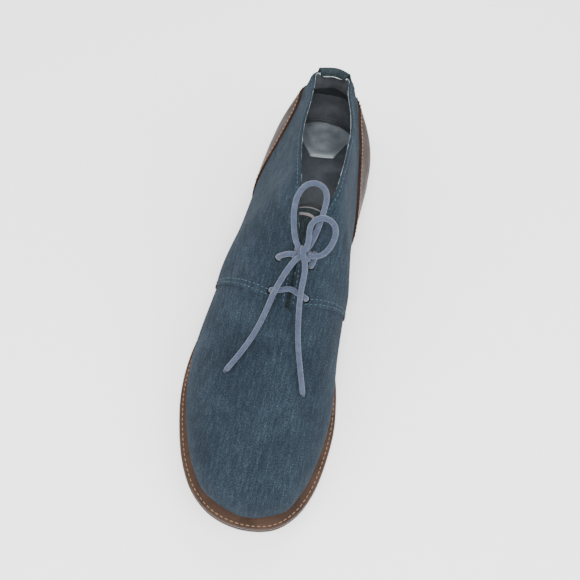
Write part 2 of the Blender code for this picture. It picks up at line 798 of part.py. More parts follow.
def build_lace(materials):
    material = materials["lace"]
    build_crossing(material)

    bpy.ops.mesh.primitive_uv_sphere_add(segments=16, ring_count=10, radius=1.0)
    ball = bpy.context.object
    mesh = ball.data
    mesh.name = "lace_knot"
    mesh.transform(Matrix.Diagonal((*KNOT_RADII, 1.0)))
    bpy.data.objects.remove(ball)
    new_object("lace_knot", mesh, material).location = knot_centre()

    place = EYELET_PLACES[0]
    for side, eyelet, leave in zip(("lateral", "medial"), (place, LOOP - place), LEAVE_STRANDS):
        route = [on_upper(eyelet, EYELET_SHARE, CROSSING_LIFT / LACE_DIAMETER)]
        cord(f"lace_strand_{side}", route + knot_exit(leave)[::-1], material)

    cord("lace_loop_back", loop_route(LEAVE_BACK_LOOP, BACK_LOOP), material)
    cord("lace_loop_medial", loop_route(LEAVE_MEDIAL_LOOP, MEDIAL_LOOP), material)
    for side, leave, lying in (
        ("lateral", LEAVE_LATERAL_END, LATERAL_END),
        ("medial", LEAVE_MEDIAL_END, MEDIAL_END),
    ):
        cord(f"lace_end_{side}", knot_exit(leave) + [on_upper(*point) for point in lying], material)


def main():
    for old in list(bpy.data.objects):
        bpy.data.objects.remove(old)
    collection = bpy.data.collections.new("chukka_boot")
    bpy.context.scene.collection.children.link(collection)
    materials = {
        "suede": new_material("suede", SUEDE, 0.95),
        "tongue": new_material("tongue_suede", TONGUE_SUEDE, 0.95),
        "brown": new_material("brown_leather", BROWN, 0.35),
        "welt": new_material("welt_leather", DARK_BROWN, 0.5),
        "sole": new_material("sole_leather", DARK_BROWN, 0.6),
        "rubber": new_material("heel_rubber", RUBBER, 0.8),
        "lining": new_material("lining", LINING, 0.9),
        "pad": new_material("heel_pad", LINING, 0.7),
        "lace": new_material("lace", LACE, 0.9),
    }
    build_sole(materials)
    build_insole(materials)
    punch_eyelets(build_upper(materials))
    build_counter(materials)
    build_heel_tab(materials)
    build_tongue(materials)
    build_lace(materials)


main()
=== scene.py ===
"""Looks of the right suede chukka boot: finish of every surface, stitches, lace, light and camera.

The toe points along -Y and +X is the medial side. Lengths are in metres unless a name says MM. A
distance "ahead" is measured from the back of the sole towards the toe. The form of the last is the
same function of stations and profile heights that the solids were made with, sampled finely.
"""

import math
from collections import namedtuple

import bmesh
import bpy
import numpy as np
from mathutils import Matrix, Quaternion, Vector


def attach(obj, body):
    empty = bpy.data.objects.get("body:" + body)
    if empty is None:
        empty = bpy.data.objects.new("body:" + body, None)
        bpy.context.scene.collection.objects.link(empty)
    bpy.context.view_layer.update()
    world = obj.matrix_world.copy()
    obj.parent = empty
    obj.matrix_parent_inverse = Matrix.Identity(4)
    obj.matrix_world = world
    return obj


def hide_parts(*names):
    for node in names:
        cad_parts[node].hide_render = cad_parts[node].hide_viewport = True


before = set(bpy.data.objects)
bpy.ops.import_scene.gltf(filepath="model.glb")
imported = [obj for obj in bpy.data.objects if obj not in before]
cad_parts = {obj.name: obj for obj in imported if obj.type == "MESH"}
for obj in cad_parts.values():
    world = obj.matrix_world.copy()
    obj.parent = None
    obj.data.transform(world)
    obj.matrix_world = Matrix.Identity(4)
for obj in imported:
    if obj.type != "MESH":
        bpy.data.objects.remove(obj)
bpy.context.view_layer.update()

# Sizes of the sole
SOLE_LENGTH = 0.300
BALL_WIDTH = 0.106
HEEL_WIDTH = 0.077
HEEL_HEIGHT = 0.0235
HEEL_LENGTH = 0.078
LIFT_THICKNESS = 0.007
OUTSOLE_THICKNESS = 0.0055
MIDSOLE_THICKNESS = 0.0035
INSOLE_THICKNESS = 0.004
INSOLE_CLEARANCE = 0.0013
SOCK_THICKNESS = 0.0016
SOCK_LENGTH = 0.041
TOE_SPRING = 0.009
WELT_AT_HEEL = 0.0033
WELT_AT_TOE = 0.0060

# Sizes of the upper
BACK_HEIGHT = 0.0970
FRONT_HEIGHT = 0.1165
THROAT_HEIGHT = 0.0996
TOE_HEIGHT = 0.0500
COLLAR_WIDTH = 0.0400
FACING_GAP = 0.0034
VAMP_WALL = 0.0018
QUARTER_STEP = 0.0010
TAB_THICKNESS = 0.0015
TONGUE_THICKNESS = 0.0022
TONGUE_CLEARANCE = 0.0013
LACE_DIAMETER = 0.0031
EYELET_DIAMETER = 0.0050
LACE_CLEARANCE = 0.0009
GAP = 0.0003
OVERLAY_GAP = 0.0005

QUARTER_WALL = VAMP_WALL + QUARTER_STEP

# Shares of the sole length: where the welt widens, and where the underside changes.
WELT_BLEND = (0.25, 0.75)
WIDTH_BLEND = (0.28, 0.56)
WAIST_BEFORE_HEEL = 0.06
WAIST_END = 0.60
SPRING_START = 0.70

# The heel pad in the scene: its front, the two corners of its front edge, and its piped rear.
PAD_FRONT = SOCK_LENGTH
PAD_CORNERS = (-0.006, 0.011)
PAD_PIPING_END = 0.034

# Fine sampling
OUTLINE_STEPS = 12
UPPER_COLUMNS = 8
UPPER_ROWS = 72
RIM_STEPS = 10
RAW_STEPS = 2
TINY = 1e-5

# The sole seen from below, as rows of ahead, lateral and medial. Ahead is a share of the sole
# length. The half widths are shares of a reference width, from the heel width to the ball width.
OUTLINE = (
    (0.000, 0.00, 0.00), (0.010, 0.212, 0.208), (0.042, 0.381, 0.375), (0.092, 0.465, 0.466),
    (0.155, 0.505, 0.505), (0.235, 0.514, 0.497), (0.320, 0.506, 0.470), (0.410, 0.455, 0.408),
    (0.500, 0.442, 0.366), (0.590, 0.472, 0.396), (0.670, 0.500, 0.456), (0.750, 0.489, 0.488),
    (0.830, 0.432, 0.476), (0.900, 0.352, 0.436), (0.953, 0.248, 0.362), (0.988, 0.105, 0.245),
    (1.000, -0.070, 0.070),
)


def collar(share):
    """Height of the collar's edge, from its back to its highest point in front."""
    return BACK_HEIGHT + share * (FRONT_HEIGHT - BACK_HEIGHT)


def facing(share):
    """Height of the facing's edge, from the end of its opening to the collar's highest point."""
    return THROAT_HEIGHT + share * (FRONT_HEIGHT - THROAT_HEIGHT)


def ridge(share):
    """Height of the instep and vamp along the middle, from the end of the opening to the toe."""
    return THROAT_HEIGHT - share * (THROAT_HEIGHT - TOE_HEIGHT)


SLIT = 0.5 * FACING_GAP / COLLAR_WIDTH

# The upper's sections, from the back of the heel round to the tip of the toe. Feather and edge are
# shares of the sole length: where the section leaves the sole and where it ends, at the collar, the
# facing or the ridge of the vamp. Centre and half are shares of the collar width. Lean and the two
# flares are degrees from upright, at the edge and at the sole. Rise and reach are shares of the
# section's chord.
NAMES = "feather edge centre half height lean flare_lateral flare_medial rise reach"
Station = namedtuple("Station", NAMES, defaults=(0.36, 0.36))
STATIONS = [Station(*row) for row in (
    (0.000, 0.040, 0.000, 0.000, collar(0.00), 8, 8, 8),
    (0.024, 0.046, -0.022, 0.190, collar(0.00), 10, 7, 5),
    (0.078, 0.061, -0.035, 0.340, collar(0.04), 13, 5, 8),
    (0.140, 0.099, -0.010, 0.348, collar(0.06), 15, 6, 13),
    (0.210, 0.153, 0.052, 0.398, collar(0.11), 17, 13, 16),
    (0.280, 0.217, 0.092, 0.433, collar(0.31), 19, 19, 20),
    (0.345, 0.281, 0.122, 0.414, collar(0.62), 23, 25, 29),
    (0.400, 0.342, 0.160, 0.373, collar(0.89), 29, 26, 33),
    (0.450, 0.400, 0.190, 0.309, collar(1.00), 37, 25, 36),
    (0.495, 0.452, 0.152, 0.192, facing(0.62), 48, 25, 37, 0.36, 0.37),
    (0.535, 0.500, 0.110, SLIT, facing(0.00), 62, 23, 36, 0.36, 0.38),
    (0.580, 0.556, 0.122, SLIT, ridge(0.19), 74, 20, 31, 0.38, 0.38),
    (0.635, 0.611, 0.138, SLIT, ridge(0.36), 82, 18, 24, 0.40, 0.39),
    (0.695, 0.665, 0.158, 0.00, ridge(0.52), 90, 17, 19, 0.41, 0.40),
    (0.760, 0.720, 0.178, 0.00, ridge(0.66), 90, 15, 16, 0.42, 0.42),
    (0.825, 0.772, 0.196, 0.00, ridge(0.77), 90, 14, 14, 0.43, 0.44),
    (0.885, 0.820, 0.212, 0.00, ridge(0.86), 90, 12, 12, 0.44, 0.45),
    (0.935, 0.860, 0.225, 0.00, ridge(0.93), 90, 11, 10, 0.45, 0.46),
    (0.975, 0.888, 0.235, 0.00, ridge(0.98), 90, 10, 10, 0.46, 0.47),
    (1.000, 0.900, 0.240, 0.00, ridge(1.00), 90, 10, 10, 0.46, 0.47),
)]
OPENING_END = 10
THROAT = 12
TOE = len(STATIONS) - 1
LOOP = 2 * TOE

# The seam in front of the quarters runs back by this many stations on its way down to the sole. The
# columns from SWEEP_START to the toe run back with it.
SEAM_SWEEP = 2.6
SWEEP_START = 6.5

# Punched eyelets: places of the upper and the lower pair, and their height on the upper.
EYELET_PLACES = (10.35, 11.45)
EYELET_SHARE = 0.905

# Wings of the counter: places along the stations, and the height of the top edge as a share of the
# counter's full height, which is itself a share of the height on the upper.
COUNTER_SHARE = 0.77
COUNTER_LATERAL = (
    (0.0, 1.00), (2.0, 1.00), (3.0, 0.99), (3.5, 0.88), (4.0, 0.77), (4.5, 0.59), (5.0, 0.16),
)
COUNTER_MEDIAL = (
    (0.0, 1.00), (2.0, 0.96), (3.0, 0.88), (3.5, 0.84), (4.5, 0.77), (5.0, 0.65), (5.5, 0.40),
    (6.0, 0.12),
)

# The heel tab: its half width in stations, and how far it hangs outside as a share of the height
# on the upper.
TAB_STATIONS = 1.35
TAB_OUTSIDE_SHARE = 0.20

# The tongue under the facings, from its root under the vamp to its top edge: places along the
# stations, the height on each side where it stops, and how far its middle drops below the facings,
# as a share of the facings' rise.
TONGUE = (
    (13.0, 0.84, 0.0), (12.0, 0.82, 0.0), (11.0, 0.81, 0.0), (10.5, 0.80, 0.0),
    (10.0, 0.80, 0.0), (9.5, 0.79, 0.05), (9.0, 0.79, 0.15), (8.6, 0.80, 0.24),
)

# The lace, given point by point. The knot lies on the opening's end, moved by KNOT_OFFSET. The routes
# of the two loops are shares of LOOP_REACH from the knot: medially, ahead and up. The two ends lie on
# the upper, at a place, a height and a lift over it in lace diameters.
LOOP_REACH = 0.040
KNOT_OFFSET = (0.0030, 0.0072, 0.0022)
KNOT_RADII = (0.0057, 0.0044, 0.0038)
BACK_LOOP = [
    (-0.23, -0.38, 0.22), (-0.26, -0.52, 0.30), (-0.26, -0.68, 0.37), (-0.20, -0.87, 0.41),
    (-0.05, -0.96, 0.43), (0.13, -0.89, 0.41), (0.17, -0.73, 0.38), (0.16, -0.56, 0.33),
    (0.15, -0.41, 0.26),
]
MEDIAL_LOOP = [
    (0.04, -0.17, 0.26), (0.01, -0.30, 0.36), (0.12, -0.42, 0.40), (0.19, -0.43, 0.41),
    (0.32, -0.42, 0.37), (0.41, -0.32, 0.30), (0.39, -0.17, 0.19), (0.34, -0.06, 0.11),
    (0.27, 0.00, 0.05),
]
LATERAL_END = [
    (11.45, 0.950, 1.30), (12.15, 0.905, 0.35), (12.85, 0.845, 0.0), (13.50, 0.775, 0.0),
    (14.05, 0.690, 0.0),
]
MEDIAL_END = [
    (LOOP - 11.45, 0.965, 1.35), (LOOP - 12.15, 0.935, 0.40), (LOOP - 12.90, 0.885, 0.0),
    (LOOP - 13.60, 0.830, 0.0), (LOOP - 14.30, 0.765, 0.0),
]

# Directions in which the cords leave the knot: medially, ahead and up.
LEAVE_BACK_LOOP = ((-0.70, -0.60, 0.45), (0.45, -0.85, 0.10))
LEAVE_MEDIAL_LOOP = ((0.35, -0.35, 0.90), (0.90, 0.15, 0.15))
LEAVE_STRANDS = ((-0.95, 0.10, -0.25), (0.85, -0.35, -0.40))
LEAVE_LATERAL_END = (-0.55, 0.85, 0.0)
LEAVE_MEDIAL_END = (0.45, 0.90, 0.0)


def smoothstep(low, high, value):
    share = np.clip((value - low) / (high - low), 0.0, 1.0)
    return share * share * (3 - 2 * share)


def bump(value, centre, width):
    """A smooth hump of height one."""
    return np.exp(-(((value - centre) / width) ** 2))


def cyclic_spline(points, place):
    """A closed smooth curve through the points, at places counted in points."""
    points = np.asarray(points, float)
    place = np.asarray(place, float)
    count = len(points)
    first = np.floor(place).astype(int)
    share = (place - first).reshape(place.shape + (1,) * (points.ndim - 1))
    before, here, after, beyond = (points[(first + step) % count] for step in (-1, 0, 1, 2))
    bend = 2 * before - 5 * here + 4 * after - beyond + share * (3 * (here - after) + beyond - before)
    return here + 0.5 * share * (after - before + share * bend)


def smooth_through(points, steps):
    """Points of an open smooth curve through the given ones."""
    points = np.asarray(points, float)
    ends = np.vstack([2 * points[0] - points[1], points, 2 * points[-1] - points[-2]])
    places = np.linspace(0, len(points) - 1 - 1e-9, (len(points) - 1) * steps + 1)
    return cyclic_spline(ends, places + 1)


def evenly(path, spacing):
    """The same path with points at an even spacing."""
    lengths = path_lengths(path)
    count = max(2, int(round(lengths[-1] / spacing)))
    even = np.linspace(0, lengths[-1], count + 1)
    return np.stack([np.interp(even, lengths, path[:, axis]) for axis in range(3)], axis=1)


def path_lengths(path):
    return np.concatenate([[0], np.cumsum(np.linalg.norm(np.diff(path, axis=0), axis=1))])


def unit(vectors):
    return vectors / np.linalg.norm(vectors, axis=-1, keepdims=True)


def reference_width(ahead_share):
    blend = smoothstep(*WIDTH_BLEND, ahead_share)
    return HEEL_WIDTH + (BALL_WIDTH - HEEL_WIDTH) * blend


def sole_outline():
    """Closed outline as (x, ahead), from the heel along the lateral side to the toe and back."""
    share, lateral, medial = np.array(OUTLINE).T
    width, ahead = reference_width(share), share * SOLE_LENGTH
    back = slice(-2, 0, -1)
    x = np.concatenate([-lateral * width, (medial * width)[back]])
    points = np.stack([x, np.concatenate([ahead, ahead[back]])], axis=1)
    return cyclic_spline(points, np.arange(0, len(points), 1 / OUTLINE_STEPS))


def inset_outline(heel_inset, toe_inset):
    """The sole's outline moved inwards, by a margin that changes from the heel to the toe."""
    outline = sole_outline()
    tangent = np.roll(outline, -1, axis=0) - np.roll(outline, 1, axis=0)
    inward = unit(np.stack([tangent[:, 1], -tangent[:, 0]], axis=1))
    ahead_share = outline[:, 1] / SOLE_LENGTH
    margin = heel_inset + (toe_inset - heel_inset) * smoothstep(*WELT_BLEND, ahead_share)
    return outline + inward * margin[:, None]


def sides(outline):
    """The lateral and medial halves of an outline, each from its heel end to its toe end."""
    back, front = np.argmin(outline[:, 1]), np.argmax(outline[:, 1])
    turned = np.roll(outline, -back, axis=0)
    middle = (front - back) % len(outline)
    return turned[: middle + 1], np.vstack([turned[middle:], turned[:1]])[::-1]


def side_x(side, ahead):
    return np.interp(ahead, side[:, 1], side[:, 0])


def world_y(ahead):
    return SOLE_LENGTH / 2 - ahead


def standing(flat, z):
    """World points from (x, ahead) and their heights."""
    return np.stack([flat[..., 0] - MIDDLE, world_y(flat[..., 1]), z], axis=-1)


def sole_underside(ahead):
    """Height of the outsole's underside: heel seat, waist, flat tread under the ball, toe spring."""
    share = np.asarray(ahead) / SOLE_LENGTH
    heel_front = HEEL_LENGTH / SOLE_LENGTH - WAIST_BEFORE_HEEL
    waist = HEEL_HEIGHT * (1 - smoothstep(heel_front, WAIST_END, share))
    spring = TOE_SPRING * np.clip((share - SPRING_START) / (1 - SPRING_START), 0, 1) ** 2
    return waist + spring


def midsole_top(ahead):
    return sole_underside(ahead) + OUTSOLE_THICKNESS + MIDSOLE_THICKNESS + GAP


def ridge_slope(index):
    """Rise of the vamp's ridge per metre ahead, at one station."""
    before, after = STATIONS[max(index - 1, THROAT)], STATIONS[min(index + 1, TOE)]
    return (after.height - before.height) / ((after.edge - before.edge) * SOLE_LENGTH)


def section_controls(index, side, feather_side):
    """The four Bezier points (x, ahead, z) of one section, from the sole up to its edge."""
    row = STATIONS[index]
    back, front = feather_side[[0, -1], 1]
    foot_ahead = back + row.feather * (front - back)
    foot = np.array([side_x(feather_side, foot_ahead), foot_ahead, midsole_top(foot_ahead) + GAP])
    edge_x = COLLAR_WIDTH * (row.centre + side * row.half)
    edge = np.array([edge_x, row.edge * SOLE_LENGTH, row.height])
    outward = unit((foot - edge) * np.array([1, 1, 0]))
    chord = np.linalg.norm(edge - foot)
    flare = math.radians(row.flare_lateral if side < 0 else row.flare_medial)
    lean = math.radians(row.lean)
    upward = np.array([0.0, 0.0, 1.0])
    low = foot + row.rise * chord * (outward * math.sin(flare) + upward * math.cos(flare))
    reach = outward * math.sin(lean) - upward * math.cos(lean)
    if index > THROAT:
        reach[2] += ridge_slope(index) * reach[1]
    return np.array([foot, low, edge + row.reach * chord * reach, edge])


def section_loop():
    """Sections in a closed ring: heel, lateral side, toe, medial side."""
    lateral, medial = sides(inset_outline(WELT_AT_HEEL, WELT_AT_TOE))
    ring = [section_controls(index, -1, lateral) for index in range(TOE + 1)]
    ring += [section_controls(index, 1, medial) for index in range(TOE - 1, 0, -1)]
    return np.array(ring)


RING = section_loop()
# The middle of the sole's box, where the boot's origin lies
MIDDLE = (sole_outline()[:, 0].min() + sole_outline()[:, 0].max()) / 2


def folded_place(place):
    """The place on the lateral side that stands for a place anywhere round the ring."""
    return np.minimum(place % LOOP, LOOP - place % LOOP)


def in_vamp(place):
    """True ahead of the throat, where both sides end on the ridge."""
    return folded_place(place) > THROAT + TINY


def bare_surface(place, height):
    """Points (x, ahead, z) of the upper's outer face. Place counts stations, height goes 0 to 1."""
    controls = cyclic_spline(RING, place)
    height = np.asarray(height)[..., None]
    rest = 1 - height
    weights = rest**3, 3 * rest**2 * height, 3 * rest * height**2, height**3
    return sum(weight * controls[..., index, :] for index, weight in enumerate(weights))


def outward_normal(place, height):
    step = 0.01
    height = np.clip(height, step, 0.985)
    along = bare_surface(place + 3 * step, height) - bare_surface(place - 3 * step, height)
    up = bare_surface(place, height + step) - bare_surface(place, height - step)
    return unit(np.cross(up, along))


def upper_surface(place, height, offset):
    """World points on a face parallel to the upper's outer face, offset outwards."""
    given = (np.asarray(value, float) for value in (place, height, offset))
    place, height, offset = np.broadcast_arrays(*given)
    points, other = (
        bare_surface(here, height) + outward_normal(here, height) * offset[..., None]
        for here in (place, LOOP - place)
    )
    joined = (in_vamp(place) & (height > 1 - TINY))[..., None]
    points = np.where(joined, (points + other) / 2, points)
    return standing(points, np.maximum(points[..., 2], midsole_top(points[..., 1]) + GAP))


def world_normal(place, height):
    normal = outward_normal(place, height).copy()
    normal[..., 1] *= -1
    return normal


def counter_top(place):
    """Height of the counter's top edge, as a height on the upper, at a place round the ring."""
    table = COUNTER_MEDIAL if place % LOOP > TOE else COUNTER_LATERAL
    return COUNTER_SHARE * np.interp(folded_place(place), *zip(*table))


def tongue_arc(place, side, drop, offset):
    """Points across the tongue, lateral to medial, at one depth under the upper's outer face."""
    heights = np.array([side, (1 + side) / 2, 1.0])
    lateral = upper_surface(place, heights, offset)
    medial = upper_surface(LOOP - place, heights[::-1], offset)
    middle = (lateral[2] + medial[0]) / 2
    middle[2] -= drop * (FRONT_HEIGHT - THROAT_HEIGHT)
    return np.vstack([lateral[:2], middle, medial[1:]])


def swept(column, height):
    """Place of a point on one column. The columns near the seam run back on their way down."""
    folded = folded_place(column)
    share = smoothstep(SWEEP_START, THROAT, folded) * (1 - smoothstep(THROAT, TOE, folded))
    back = SEAM_SWEEP * share * (1 - height)
    return np.where(column <= TOE, column - back, column + back)


def on_upper(place, height, lift=0.0):
    """A cord's centre where it lies on the upper, lifted by a number of its diameters."""
    seam = THROAT - SEAM_SWEEP * (1 - height)
    step = QUARTER_STEP if folded_place(place) > seam else 0.0
    clear = LACE_DIAMETER / 2 + LACE_CLEARANCE + lift * LACE_DIAMETER
    return upper_surface(place, height, clear - step)


def knot_centre():
    """The knot's centre, above the end of the collar's opening."""
    sides_end = upper_surface(np.array([OPENING_END, LOOP - OPENING_END]), 1.0, 0.0)
    medially, ahead, up = KNOT_OFFSET
    return sides_end.mean(axis=0) + np.array([medially, -ahead, up])


def near_knot(medially, ahead, up):
    """World point of a loop's route, from its shares of LOOP_REACH."""
    return knot_centre() + LOOP_REACH * np.array([medially, -ahead, up])


def knot_exit(direction):
    """Where a cord leaves the knot in a direction (medially, ahead, up), and a point further out."""
    heading = unit(np.array([direction[0], -direction[1], direction[2]]))
    radius = OVERLAY_GAP + 1 / np.linalg.norm(heading / np.array(KNOT_RADII))
    return [knot_centre() + heading * reach for reach in (radius, radius + LACE_DIAMETER)]


# Creases and one ridge across the vamp: depth, place on top, run back on the way down, and width.
CREASES = (
    (-0.00060, 13.45, 1.10, 0.17), (-0.00065, 14.05, 1.25, 0.16), (-0.00040, 14.65, 1.40, 0.18),
    (0.00028, 13.75, 1.15, 0.15),
)


def suede_relief(place, height):
    """Soft waves, flex creases of the vamp and the hollow at the ankle, in metres."""
    folded = folded_place(place)
    side = np.where(place % LOOP > TOE, 1.0, -1.0)
    down = 1 - height
    flex = sum(depth * bump(folded, at - run * down, width) for depth, at, run, width in CREASES)
    flex = flex * smoothstep(0.30, 0.80, height)
    wave = 0.00024 * np.sin(1.7 * folded + 1.3 * side + 3.2 * height) * smoothstep(0.1, 0.5, height)
    wave = wave * smoothstep(12.0, 10.0, folded) * smoothstep(1.0, 0.9, height)
    ankle = -0.0007 * bump(folded, 6.8, 0.9) * bump(height, 0.62, 0.16)
    skived = -0.0013 * smoothstep(0.955, 1.0, height) * ~in_vamp(place)
    return flex + wave + ankle + skived


# Materials


class Nodes:
    """A short way to write one material's node tree."""

    def __init__(self, name):
        self.material = bpy.data.materials.new(name)
        self.material.use_nodes = True
        self.tree = self.material.node_tree
        self.shader = self.tree.nodes["Principled BSDF"]
        coordinates = self.tree.nodes.new("ShaderNodeTexCoord")
        self.place, self.uv = coordinates.outputs["Object"], coordinates.outputs["UV"]

    def feed(self, node, inputs):
        """Sets a node's inputs, each to a plain value or to another node's output."""
        for key, value in inputs.items():
            if isinstance(value, bpy.types.NodeSocket):
                self.tree.links.new(value, node.inputs[key])
            else:
                node.inputs[key].default_value = value

    def add(self, kind, output, inputs, **settings):
        node = self.tree.nodes.new(f"ShaderNode{kind}")
        for key, value in settings.items():
            setattr(node, key, value)
        self.feed(node, inputs)
        return node.outputs[output]

    def stretch(self, source, *scale):
        return self.add("Mapping", "Vector", {"Vector": source, "Scale": scale})

    def noise(self, vector, scale, detail, roughness, distortion=0.0):
        values = vector, scale, detail, roughness, distortion
        names = "Vector", "Scale", "Detail", "Roughness", "Distortion"
        return self.add("TexNoise", "Fac", dict(zip(names, values)))

    def cells(self, scale):
        return self.add("TexVoronoi", "Distance", {"Vector": self.place, "Scale": scale})

    def waves(self, vector, scale, direction):
        inputs = {"Vector": vector, "Scale": scale}
        return self.add("TexWave", "Fac", inputs, bands_direction=direction)

    def ramp(self, factor, stops):
        node = self.tree.nodes.new("ShaderNodeValToRGB")
        elements = node.color_ramp.elements
        while len(elements) < len(stops):
            elements.new(0.5)
        for element, (position, colour) in zip(elements, stops):
            element.position = position
            element.color = (*colour, 1.0)
        self.feed(node, {"Fac": factor})
        return node.outputs["Color"]

    def levels(self, value, *limits):
        """The value moved from the range of the first two limits to that of the last two."""
        names = "From Min", "From Max", "To Min", "To Max"
        return self.add("MapRange", "Result", {"Value": value, **dict(zip(names, limits))})

    def sum(self, first, second, operation="ADD"):
        return self.add("Math", "Value", {0: first, 1: second}, operation=operation)

    def weighted(self, *terms):
        """A sum of outputs, each times its own number."""
        total = 0.0
        for value, share in terms:
            total = self.sum(total, self.sum(value, share, "MULTIPLY"))
        return total

    def bumps(self, height, strength, distance):
        inputs = {"Strength": strength, "Distance": distance, "Height": height}
        self.feed(self.shader, {"Normal": self.add("Bump", "Normal", inputs)})

    def shaded(self, **inputs):
        """The material, with these inputs of its shader. An underscore stands for a space."""
        self.feed(self.shader, {key.replace("_", " "): value for key, value in inputs.items()})
        return self.material


def suede_material(name, dark, middle, light, sheen):
    made = Nodes(name)
    broad = made.noise(made.place, 30.0, 3.0, 0.6, 0.6)
    streaks = made.noise(made.stretch(made.place, 800.0, 110.0, 110.0), 1.0, 3.0, 0.65)
    specks = made.noise(made.place, 1700.0, 3.0, 0.75)
    fibres = made.noise(made.place, 3200.0, 2.0, 0.6)
    mottle = made.weighted((broad, 0.22), (streaks, 0.26), (specks, 0.68))
    made.bumps(made.weighted((specks, 0.8), (fibres, 0.5), (streaks, 0.5)), 0.80, 0.0007)
    return made.shaded(
        Base_Color=made.ramp(mottle, [(0.42, dark), (0.580, middle), (0.76, light)]),
        Roughness=0.97,
        Sheen_Weight=sheen,
        Sheen_Roughness=0.45,
        Sheen_Tint=(*[min(1.0, 3.0 * value) for value in light], 1.0),
        Specular_IOR_Level=0.12,
    )


def leather_material(
    name, dark, light, roughness, coat=0.0, grain=900.0, depth=0.00025, specular=0.4
):
    made = Nodes(name)
    broad = made.noise(made.place, 55.0, 4.0, 0.6, 0.8)
    fine = made.noise(made.place, 2200.0, 3.0, 0.6)
    made.bumps(made.weighted((made.cells(grain), 0.8), (fine, 0.25)), 0.45, depth)
    return made.shaded(
        Base_Color=made.ramp(broad, [(0.30, dark), (0.72, light)]),
        Roughness=made.levels(broad, 0.3, 0.75, roughness - 0.08, roughness + 0.10),
        Coat_Weight=coat,
        Coat_Roughness=0.18,
        Specular_IOR_Level=specular,
    )


def thread_material(name, dark, light):
    made = Nodes(name)
    twist = made.noise(made.place, 2600.0, 2.0, 0.6)
    made.bumps(twist, 0.5, 0.0002)
    colour = made.ramp(twist, [(0.35, dark), (0.65, light)])
    return made.shaded(Base_Color=colour, Roughness=0.8, Specular_IOR_Level=0.1)


def braid_material():
    """Strands wind round the cord both ways, read from the tube's own UV map, under a fuzz."""
    made = Nodes("lace_braid")
    fuzz = made.noise(made.place, 3000.0, 3.0, 0.65)
    patches = made.noise(made.place, 240.0, 2.0, 0.5)
    families = [
        made.waves(made.stretch(made.uv, turns, 650.0, 0.0), 1.0, "DIAGONAL") for turns in (6.0, -6.0)
    ]
    strands = made.sum(*families, "MAXIMUM")
    tone = made.weighted((strands, 0.20), (fuzz, 0.70), (patches, 0.22))
    shades = (0.018, 0.024, 0.045), (0.040, 0.053, 0.088), (0.090, 0.112, 0.165)
    made.bumps(fuzz, 0.7, 0.00025)
    return made.shaded(
        Base_Color=made.ramp(tone, list(zip((0.44, 0.64, 0.84), shades))),
        Roughness=0.95,
        Sheen_Weight=0.25,
        Sheen_Roughness=0.5,
        Specular_IOR_Level=0.15,
    )


def footbed_material(name, dark, light, roughness, front=None):
    """Smooth dented leather. A front colour lightens it along the heel pad's front edge: a painted
    highlight.
    """
    made = Nodes(name)
    broad = made.noise(made.place, 60.0, 3.0, 0.6, 0.5)
    dents = made.noise(made.place, 95.0, 2.0, 0.5)
    colour = made.ramp(broad, [(0.32, dark), (0.70, light)])
    # Painted highlight: lighter towards the heel pad's raised front edge, where the light falls.
    if front is not None:
        along = made.add("SeparateXYZ", "Y", {"Vector": made.place})
        low, high = world_y(PAD_FRONT - 0.012), world_y(PAD_FRONT - 0.001)
        inputs = {"Factor": made.levels(along, low, high, 0.0, 0.75), "A": colour, "B": (*front, 1.0)}
        colour = made.add("Mix", "Result", inputs, data_type="RGBA")
    made.bumps(made.weighted((made.cells(1300.0), 0.12), (dents, 1.0)), 0.55, 0.0016)
    rough = made.levels(broad, 0.3, 0.7, roughness - 0.06, roughness + 0.12)
    return made.shaded(Base_Color=colour, Roughness=rough, Specular_IOR_Level=0.5)


def stacked_material():
    """Leather lifts of the heel: thin dark lines at an even spacing up the heel."""
    made = Nodes("stacked_heel")
    lines = made.waves(made.stretch(made.place, 0.0, 0.0, 1.0), 46.0, "Z")
    grain = made.noise(made.stretch(made.place, 160.0, 160.0, 900.0), 1.0, 3.0, 0.6)
    tone = made.weighted((lines, 0.55), (grain, 0.5))
    made.bumps(tone, 0.4, 0.0003)
    return made.shaded(
        Base_Color=made.ramp(tone, [(0.15, (0.010, 0.006, 0.004)), (0.75, (0.046, 0.025, 0.017))]),
        Roughness=made.levels(grain, 0.3, 0.7, 0.34, 0.55),
        Coat_Weight=0.06,
        Coat_Roughness=0.25,
        Specular_IOR_Level=0.12,
    )


def rubber_material(name, colour, roughness):
    made = Nodes(name)
    grain = made.noise(made.place, 1400.0, 3.0, 0.6)
    dark = tuple(0.6 * value for value in colour)
    made.bumps(grain, 0.4, 0.0002)
    return made.shaded(Base_Color=made.ramp(grain, [(0.3, dark), (0.7, colour)]), Roughness=roughness)


# Each material by its key: its name, its colours from dark to light, and its other values.
SUEDES = {
    "suede": (
        "suede_nap", (0.005, 0.0078, 0.0112), (0.012, 0.0195, 0.0285), (0.039, 0.057, 0.075), 0.09
    ),
    "tab": ("tab_nap", (0.005, 0.008, 0.0095), (0.012, 0.019, 0.0225), (0.04, 0.054, 0.06), 0.1),
    "tongue": ("tongue_nap", (0.004, 0.006, 0.007), (0.012, 0.017, 0.0195), (0.04, 0.052, 0.058), 0.1),
}
